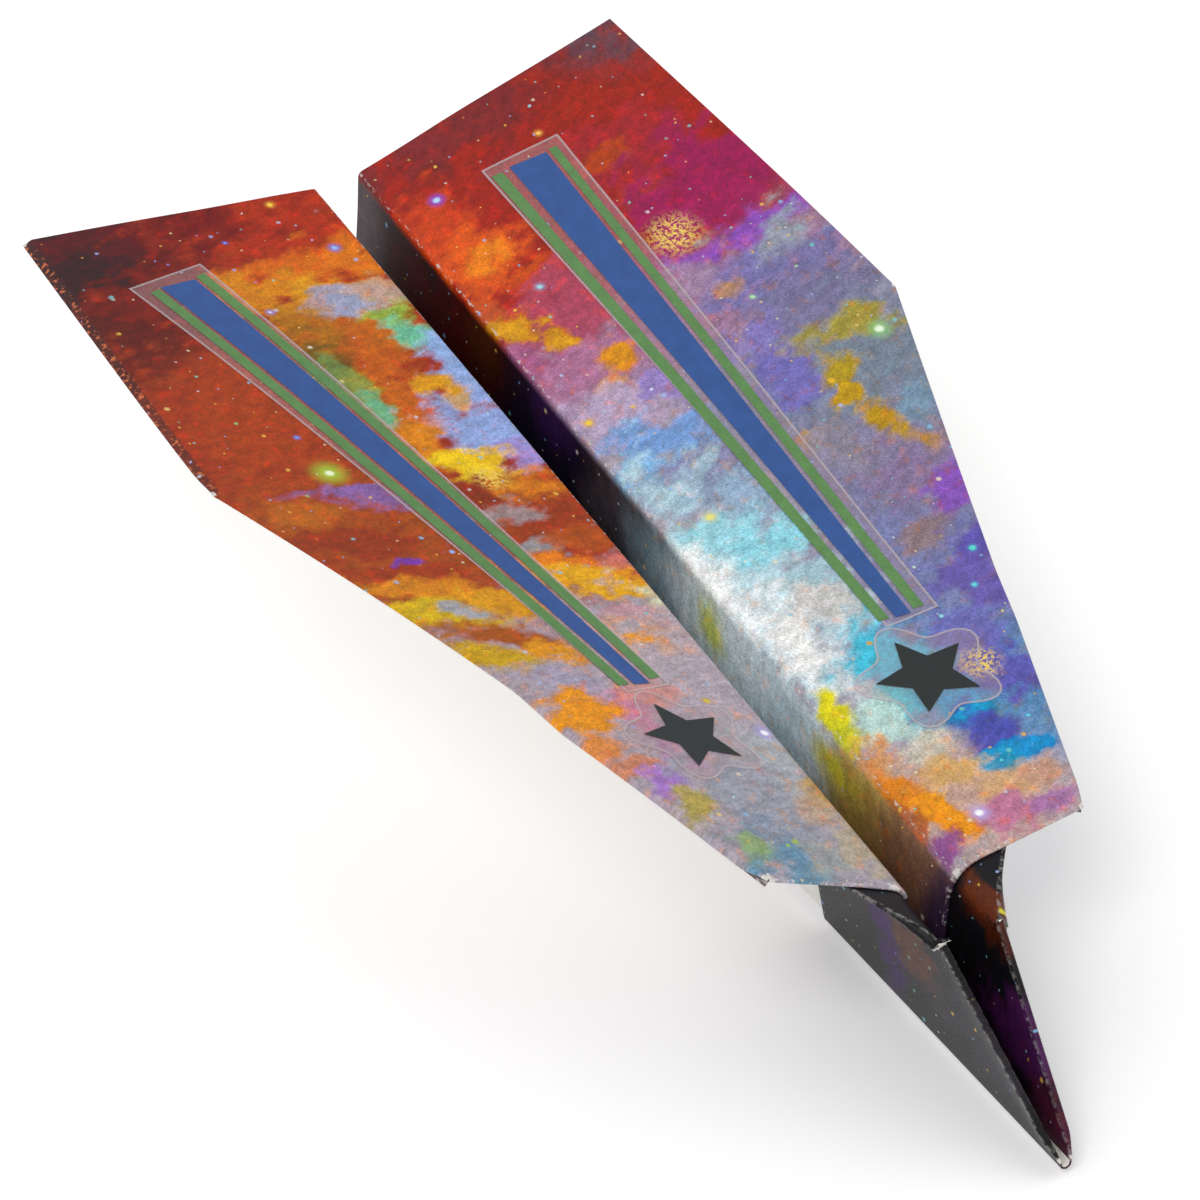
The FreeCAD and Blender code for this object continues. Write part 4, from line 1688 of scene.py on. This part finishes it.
    def front_fold(self, side: Side) -> None:
        """Makes the fold along the front edge of the upper sheet.

        Args:
            side: The side of the plane.
        """
        sheet, start = self.sheet, self.keel_strip
        radius = (Layer.PLEAT_LOWER.value * sheet.pitch + sheet.paper) / 2

        def front(along: np.ndarray, angle: np.ndarray) -> Rounded:
            """Round the front edge of the upper sheet."""
            return sheet.front + radius * np.sin(angle), start + along, radius * (1 - np.cos(angle))

        length, faces = sheet.front_half_width - start, self.edge_faces(self.finishes.printed[side])
        piece = self.hem(f"{side.label}_front_fold", side, length, 90, front, Layer.UPPER_SHEET, faces)
        self.note(piece, "print_paper")
        self.bend_at_crease(piece, side, self.strip_half(side, Layer.UPPER_SHEET) * self.bend_share)

    def pleat_fold(self, side: Side) -> None:
        """Makes the fold at the back of the pleat, under the upper sheet.

        Args:
            side: The side of the plane.
        """
        sheet, start = self.sheet, self.keel_strip
        near = Layer.PLEAT_UPPER.value * sheet.pitch
        radius = (Layer.NOSE_OUTER.value * sheet.pitch + sheet.paper - near) / 2

        def back(along: np.ndarray, angle: np.ndarray) -> Rounded:
            """Round the back of the pleat, under the upper sheet."""
            return sheet.pleat_back - radius * np.sin(angle), start + along, near + radius * (1 - np.cos(angle))

        length = sheet.apex - sheet.pleat_back - self.pleat_fold_end - start
        faces = self.edge_faces(self.finishes.dark_printed)
        piece = self.hem(f"{side.label}_pleat_fold", side, length, 60, back, Layer.PLEAT_UPPER, faces)
        self.note(piece, "dark_print_paper")
        self.bend_at_crease(piece, side, self.strip_half(side, Layer.NOSE_INNER) * self.bend_share)

    def corner_fold(self, side: Side) -> None:
        """Makes the fold along the wing's slanted outer edge.

        Args:
            side: The side of the plane.
        """
        sheet = self.sheet
        slant = math.hypot(sheet.front - sheet.kink, sheet.half - sheet.front_half_width)
        ux, uy = (sheet.front - sheet.kink) / slant, (sheet.front_half_width - sheet.half) / slant

        def corner(along: np.ndarray, angle: np.ndarray) -> Rounded:
            """Round the slanted outer edge, from the upper sheet to the corner flap.

            Args:
                along: Distances along the fold.
                angle: Angles round it.

            Returns:
                x, y and depth.
            """
            x, y = sheet.kink + ux * along, sheet.half + uy * along
            flattened = 1 - self.corner_flatness * ease(x, sheet.front - self.corner_ease, sheet.front)
            radius = (sheet.flap_depth(x) + sheet.paper) / 2 * flattened
            return x - uy * radius * np.sin(angle), y + ux * radius * np.sin(angle), radius * (1 - np.cos(angle))

        faces = self.edge_faces(self.finishes.printed[side])
        piece = self.hem(f"{side.label}_corner_fold", side, slant, 70, corner, Layer.UPPER_SHEET, faces)
        self.note(piece, "print_paper")
        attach(piece, f"{side.label}_wing")

    def nose_fold(self, side: Side) -> None:
        """Makes the slanted fold that joins the nose's inner and outer layer.

        Args:
            side: The side of the plane.
        """
        sheet = self.sheet
        first = sheet.pleat_back + self.nose_fold_start
        lip_length = (sheet.tip - first) * math.sqrt(2)
        upper = Layer.NOSE_INNER.value * sheet.pitch

        def nose(along: np.ndarray, angle: np.ndarray) -> Rounded:
            """Round the slanted edge, then straight down the blunt tip.

            Args:
                along: Distances along the fold.
                angle: Angles round it.

            Returns:
                x, y and depth.
            """
            slanted = np.minimum(along, lip_length)
            x = first + slanted / math.sqrt(2)
            y = sheet.apex - x - (along - slanted)
            lower = Layer.NOSE_OUTER.value * sheet.pitch + sheet.paper + sheet.lip_rise(x, y)
            radius = (lower - upper) / 2
            turn = math.pi / 4 * (1 - ease(along, lip_length - self.tip_turn, lip_length + self.tip_turn))
            out = radius * np.sin(angle)
            return x + out * np.cos(turn), y + out * np.sin(turn), upper + radius * (1 - np.cos(angle))

        whole = lip_length + sheet.tip_blunting - self.keel_strip
        faces = self.edge_faces(self.finishes.dark_printed)
        piece = self.hem(f"{side.label}_nose_fold", side, whole, 120, nose, Layer.NOSE_INNER, faces)
        self.note(piece, "dark_print_paper")
        self.bend_at_crease(piece, side, self.strip_half(side, Layer.NOSE_INNER) * self.bend_share)

    def keel(self) -> None:
        """Makes the two rounded strips under the keel."""
        sheet = self.sheet
        strips = (
            ("keel_fold", 0.0, sheet.front, 0.0, sheet.paper, Layer.UPPER_SHEET, "print_paper"),
            ("nose_keel_fold", sheet.pleat_back, sheet.tip, self.nose_keel_depth, sheet.pitch + sheet.paper,
             Layer.NOSE_OUTER, "dark_print_paper"),
        )
        for name, start, end, depth, thickness, layer, slot in strips:
            cells = (math.ceil((end - start) / self.nose_step), 12)
            piece = Bench.grid(f"{name}_paper", (start, -self.keel_strip), (end, self.keel_strip), cells)
            flat = Bench.flat_places(piece)
            x, y = flat[:, 0], flat[:, 1]
            Bench.store(piece, PLACE, sheet.sheet_place(layer, x, y))
            Bench.move(piece, sheet.fold(x, y, np.full_like(x, depth)))
            Bench.dress(piece, *self.faces(layer, Side.PORT))
            Bench.thicken(piece, thickness)
            self.note(piece, slot, name)
            self.bend_at_keel(piece)
        self.tip_fold()

    def bend_at_keel(self, piece: Any) -> None:
        """Bakes a piece's placement into its mesh; the reach of its bend between the two body walls is worked out but
        not applied.
        """
        reach, height = self.keel_bend * MM, self.sheet.keel_height * MM
        -reach
        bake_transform(piece)

    def tip_fold(self) -> None:
        """Closes the blunt tip of the nose between the two slanted folds."""
        sheet = self.sheet
        upper = Layer.NOSE_INNER.value * sheet.pitch
        radius = (Layer.NOSE_OUTER.value * sheet.pitch + sheet.paper - upper) / 2

        def tip(along: np.ndarray, angle: np.ndarray) -> Rounded:
            """Round the tip, from one body wall to the other."""
            return sheet.tip + radius * np.sin(angle), along - self.keel_strip, upper + radius * (1 - np.cos(angle))

        finishes = (self.finishes.dark_printed,) * 3
        piece = self.hem("nose_tip_fold", Side.PORT, 2 * self.keel_strip, 12, tip, Layer.NOSE_INNER, finishes)
        self.note(piece, "dark_print_paper")
        self.bend_at_keel(piece)

    # ---- stickers

    def sticker_piece(self, name: str, side: Side, piece: Any, to_sheet: Callable[[np.ndarray], np.ndarray],
                      top: float, thickness: float, finishes: Sequence[Material]) -> Any:
        """Lays a flat sticker shape on the wing.

        Args:
            name: The piece's name.
            side: The side of the plane.
            piece: The flat shape, in the sticker's own millimetres.
            to_sheet: Turns its places into places on the sheet, y positive.
            top: Height of its upper face above the paper.
            thickness: Its thickness.
            finishes: Its materials.

        Returns:
            The piece.
        """
        flat = Bench.flat_places(piece)
        at = to_sheet(flat)
        Bench.store(piece, STICKER_PLACE, np.stack([flat[:, 0], flat[:, 1], 0 * flat[:, 0]], -1))
        points = self.sheet.fold(at[:, 0], at[:, 1] * side.value, np.full(len(at), -top))
        Bench.move(piece, points)
        if side is Side.STARBOARD:
            piece.data.flip_normals()
        Bench.dress(piece, *finishes)
        Bench.thicken(piece, thickness)
        self.note(piece, "sticker_film")
        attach(piece, f"{side.label}_wing")
        return piece


@dataclass(frozen=True)
class StickerStock:
    """Thicknesses of the film and ink of every sticker, and the width of its pale border, a painted highlight along
    the cut edge.
    """

    film: float = 0.10
    film_top: float = 0.16
    ink: float = 0.02
    ink_gap: float = 0.004
    edge: float = 0.38

    @property
    def ink_top(self) -> float:
        """Height of the ink's upper face above the paper."""
        return self.film_top + self.ink + self.ink_gap


STOCK = StickerStock()


def turned_to(origin: tuple[float, float], turn: float, places: np.ndarray) -> np.ndarray:
    """Places on a sticker as places on the sheet.

    Args:
        origin: Where the sticker's own origin lies on the sheet.
        turn: How far the sticker is turned, in degrees.
        places: Places on the sticker, one row each.

    Returns:
        Places on the sheet, one row each.
    """
    c, s = math.cos(math.radians(turn)), math.sin(math.radians(turn))
    x, y = places[:, 0], places[:, 1]
    return np.stack([origin[0] + x * c - y * s, origin[1] + x * s + y * c], -1)


@dataclass(frozen=True)
class Stripe:
    """A long tapered sticker: clear film with a blue band between two green lines."""

    side: Side
    tail: tuple[float, float]
    turn: float
    blue: tuple[tuple[float, float], ...]
    outer_green: tuple[tuple[float, float], ...]
    inner_green: tuple[tuple[float, float], ...]
    length: float = 128.0
    tail_width: float = 15.2
    front_width: float = 9.8

    def to_sheet(self, places: np.ndarray) -> np.ndarray:
        """Places along and across the sticker as places on the sheet."""
        return turned_to(self.tail, self.turn, places)

    def outline(self, margin: float) -> Outline:
        """The film's outline.

        Args:
            margin: How far it is drawn in.

        Returns:
            Its four corners.
        """
        tail, front = self.tail_width / 2 - margin, self.front_width / 2 - margin
        end = self.length - margin
        return [(margin, -tail), (margin, tail), (end, front), (end, -front)]

    def build(self, plane: PaperPlane) -> None:
        """Makes the film and its three printed bands.

        Args:
            plane: The plane that it is stuck on.
        """
        finishes, label = plane.finishes, self.side.label
        half = self.tail_width / 2
        film = Bench.grid(f"{label}_stripe_film", (0.0, -half), (self.length, half), (80, 10))
        Bench.cut(film, self.outline(0.0))
        Bench.cut(film, self.outline(STOCK.edge), keep_outside=True)
        self.mark_edge(film)
        faces = finishes.film_faces()
        plane.sticker_piece(film.name, self.side, film, self.to_sheet, STOCK.film_top, STOCK.film, faces)
        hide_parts(f"{label}_stripe_sticker")
        bands = (("blue_band", self.blue, finishes.blue), ("outer_green_line", self.outer_green, finishes.green),
                 ("inner_green_line", self.inner_green, finishes.green))
        for word, corners, ink in bands:
            band = Bench.grid(f"{label}_{word}", (0.0, 0.0), (1.0, 1.0), (80, 3))
            flat = Bench.flat_places(band)
            u, v = flat[:, :1], flat[:, 1:2]
            low_tail, high_tail, high_front, low_front = (np.array(c) for c in corners)
            at = (1 - u) * ((1 - v) * low_tail + v * high_tail) + u * ((1 - v) * low_front + v * high_front)
            Bench.move(band, np.concatenate([at, 0 * u], axis=1))
            plane.sticker_piece(band.name, self.side, band, self.to_sheet, STOCK.ink_top, STOCK.ink, (ink,) * 3)

    def mark_edge(self, film: Any) -> None:
        """Gives the narrow rim of the film its own material, the painted highlight along the cut edge.

        Args:
            film: The flat film, cut along its rim.
        """
        for polygon in film.data.polygons:
            x, y = polygon.center[0], polygon.center[1]
            half = self.tail_width / 2 + (self.front_width - self.tail_width) / 2 * x / self.length
            near = min(x, self.length - x, half - abs(y)) < STOCK.edge
            polygon.material_index = 2 if near else 0


@dataclass(frozen=True)
class StarSticker:
    """A clear wavy film with a black five-pointed star."""

    side: Side
    centre: tuple[float, float]
    turn: float
    film_radius: float = 10.6
    wave: float = 1.9
    points: int = 60
    star: float = 8.9
    waist: float = 0.48

    def to_sheet(self, places: np.ndarray) -> np.ndarray:
        """Places on the sticker as places on the sheet."""
        return turned_to(self.centre, self.turn, places)

    def build(self, plane: PaperPlane) -> None:
        """Makes the film and the star on it.

        Args:
            plane: The plane that it is stuck on.
        """
        finishes, label = plane.finishes, self.side.label
        film = self.ring(f"{label}_star_film")
        faces = finishes.film_faces()
        plane.sticker_piece(film.name, self.side, film, self.to_sheet, STOCK.film_top, STOCK.film, faces)
        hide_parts(f"{label}_star_sticker")
        star = self.five_points(f"{label}_black_star")
        black = (finishes.black,) * 3
        plane.sticker_piece(star.name, self.side, star, self.to_sheet, STOCK.ink_top, STOCK.ink, black)

    def ring(self, name: str) -> Any:
        """The film's flat shape, a wavy disc with a narrow rim.

        Args:
            name: The piece's name.

        Returns:
            The flat film.
        """
        Bench.clear()
        bpy.ops.mesh.primitive_circle_add(vertices=self.points, radius=1.0, fill_type="NGON")
        made = bpy.context.object
        made.name = made.data.name = name
        flat = Bench.flat_places(made)
        angle = np.arctan2(flat[:, 1], flat[:, 0])
        radius = self.film_radius + self.wave * np.cos(5 * angle)
        Bench.move(made, np.stack([radius * np.cos(angle), radius * np.sin(angle), 0 * angle], -1))
        bpy.ops.object.mode_set(mode="EDIT")
        bpy.ops.mesh.select_all(action="SELECT")
        bpy.ops.mesh.inset(thickness=STOCK.edge, use_boundary=True)
        bpy.ops.mesh.poke()
        bpy.ops.mesh.subdivide(number_cuts=4)
        bpy.ops.object.mode_set(mode="OBJECT")
        # the border takes the painted edge highlight
        for polygon in made.data.polygons:
            x, y = polygon.center[0], polygon.center[1]
            edge = self.film_radius + self.wave * math.cos(5 * math.atan2(y, x))
            polygon.material_index = 2 if edge - math.hypot(x, y) < STOCK.edge * 1.2 else 0
        return made

    def five_points(self, name: str) -> Any:
        """The star's flat shape, cut small enough to follow the wing.

        Args:
            name: The piece's name.

        Returns:
            The flat star.
        """
        Bench.clear()
        bpy.ops.mesh.primitive_circle_add(vertices=10, radius=1.0, fill_type="TRIFAN")
        made = bpy.context.object
        made.name = made.data.name = name
        flat = Bench.flat_places(made)
        angle = np.arctan2(flat[:, 1], flat[:, 0])
        first = angle[np.argmax(np.hypot(flat[:, 0], flat[:, 1]))]
        step = np.round((angle - first) / (math.pi / 5)).astype(int)
        radius = np.where(step % 2 == 0, self.star, self.star * self.waist) * (np.hypot(flat[:, 0], flat[:, 1]) > 0.5)
        turned = angle - first
        Bench.move(made, np.stack([radius * np.cos(turned), radius * np.sin(turned), 0 * angle], -1))
        bpy.ops.object.mode_set(mode="EDIT")
        bpy.ops.mesh.select_all(action="SELECT")
        bpy.ops.mesh.subdivide(number_cuts=3)
        bpy.ops.object.mode_set(mode="OBJECT")
        return made


STRIPES = (
    Stripe(Side.PORT, (15.1, 74.4), -5.8,
           ((2.1, -3.2), (2.7, 3.8), (127.0, 0.2), (126.7, -2.5)),
           ((2.3, 4.5), (2.4, 6.0), (126.6, 3.0), (126.4, 1.1)),
           ((2.3, -6.8), (2.4, -4.8), (126.4, -3.5), (126.2, -5.4))),
    Stripe(Side.STARBOARD, (17.2, 86.3), -14.8,
           ((3.4, -3.9), (2.5, 2.7), (126.3, 1.9), (126.7, -1.3)),
           ((2.8, 3.3), (2.9, 5.2), (126.0, 5.1), (126.0, 2.8)),
           ((2.6, -6.4), (2.8, -4.5), (125.8, -2.2), (125.6, -4.5))),
)
STARS = (StarSticker(Side.PORT, (154.3, 55.4), 180.0), StarSticker(Side.STARBOARD, (153.6, 52.2), 90.0))


# --------------------------------------------------------------------------- the studio


@dataclass(frozen=True)
class Studio:
    """A pale floor, soft lights and the camera."""

    camera_at: tuple[float, float, float] = (-0.57168, -1.04091, 0.97514)
    camera_right: tuple[float, float, float] = (0.8651, -0.5000, -0.0407)
    camera_up: tuple[float, float, float] = (0.3381, 0.5212, 0.7836)
    lens: float = 277.4
    sensor: float = 36.0
    floor_size: float = 12.0
    floor_glow: float = 0.16
    daylight: float = 0.55

    def build(self) -> None:
        """Sets up the floor, lights, world and camera."""
        self.floor()
        self.area("key_light", (-1.4, -1.2, 2.4), 1.6, 29.0)
        self.area("fill_light", (1.8, -0.6, 1.8), 2.2, 12.0)
        self.area("back_light", (-0.4, 2.0, 1.8), 2.0, 11.0)
        world = bpy.data.worlds.new("soft_world")
        world.use_nodes = True
        sky = world.node_tree.nodes["Background"]
        sky.inputs[0].default_value, sky.inputs[1].default_value = (1.0, 1.0, 1.0, 1.0), self.daylight
        bpy.context.scene.world = world
        bpy.context.scene.view_settings.view_transform = "Standard"
        self.camera()

    def floor(self) -> None:
        """Adds the pale floor."""
        Bench.clear()
        bpy.ops.mesh.primitive_plane_add(size=self.floor_size)
        floor = bpy.context.object
        floor.name = "studio_floor"
        board = Board("pale_floor")
        place = board.add("ShaderNodeTexCoord", {}, {}, "Object")
        tone = board.noise(place, 2.0, 2.0)
        colour = board.mix(tone, linear("fafafa"), linear("ffffff"))
        inputs = {"Base Color": colour, "Roughness": 0.85, "Emission Color": colour}
        floor.data.materials.append(board.finish({**inputs, "Emission Strength": self.floor_glow}))

    @staticmethod
    def area(name: str, at: tuple[float, float, float], size: float, power: float) -> None:
        """Adds a large square light that faces the plane.

        Args:
            name: The light's name.
            at: Where it hangs, in metres.
            size: Its side, in metres.
            power: Its power, in watts.
        """
        light = bpy.data.lights.new(name, "AREA")
        light.size, light.energy = size, power
        lamp = bpy.data.objects.new(name, light)
        lamp.location = at
        lamp.rotation_euler = (-Vector(at)).to_track_quat("-Z", "Y").to_euler()
        bpy.context.scene.collection.objects.link(lamp)

    def camera(self) -> None:
        """Adds the camera at its place and angle."""
        data = bpy.data.cameras.new("camera")
        data.lens, data.sensor_width = self.lens, self.sensor
        data.clip_start, data.clip_end = 0.05, 50.0
        camera = bpy.data.objects.new("camera", data)
        right, up = Vector(self.camera_right).normalized(), Vector(self.camera_up).normalized()
        back = right.cross(up)
        turn = Matrix((right, up, back)).transposed().to_4x4()
        camera.matrix_world = Matrix.Translation(Vector(self.camera_at)) @ turn
        bpy.context.scene.collection.objects.link(camera)
        bpy.context.scene.camera = camera


def main() -> None:
    """Builds the plane's looks on the frame."""
    logging.basicConfig(level=logging.INFO, format="%(name)s %(message)s")
    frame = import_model()
    sheet = FoldedSheet()
    sheet.settle(frame["joints"])
    Studio().build()
    plane = PaperPlane(sheet, Finishes.mixed())
    plane.keel()
    for side in Side:
        plane.paper(side)
        plane.folded_edges(side)
    for sticker in STRIPES + STARS:
        sticker.build(plane)
    bpy.context.view_layer.update()
    LOG.info("%d pieces", plane.pieces)


if __name__ == "__main__":
    main()
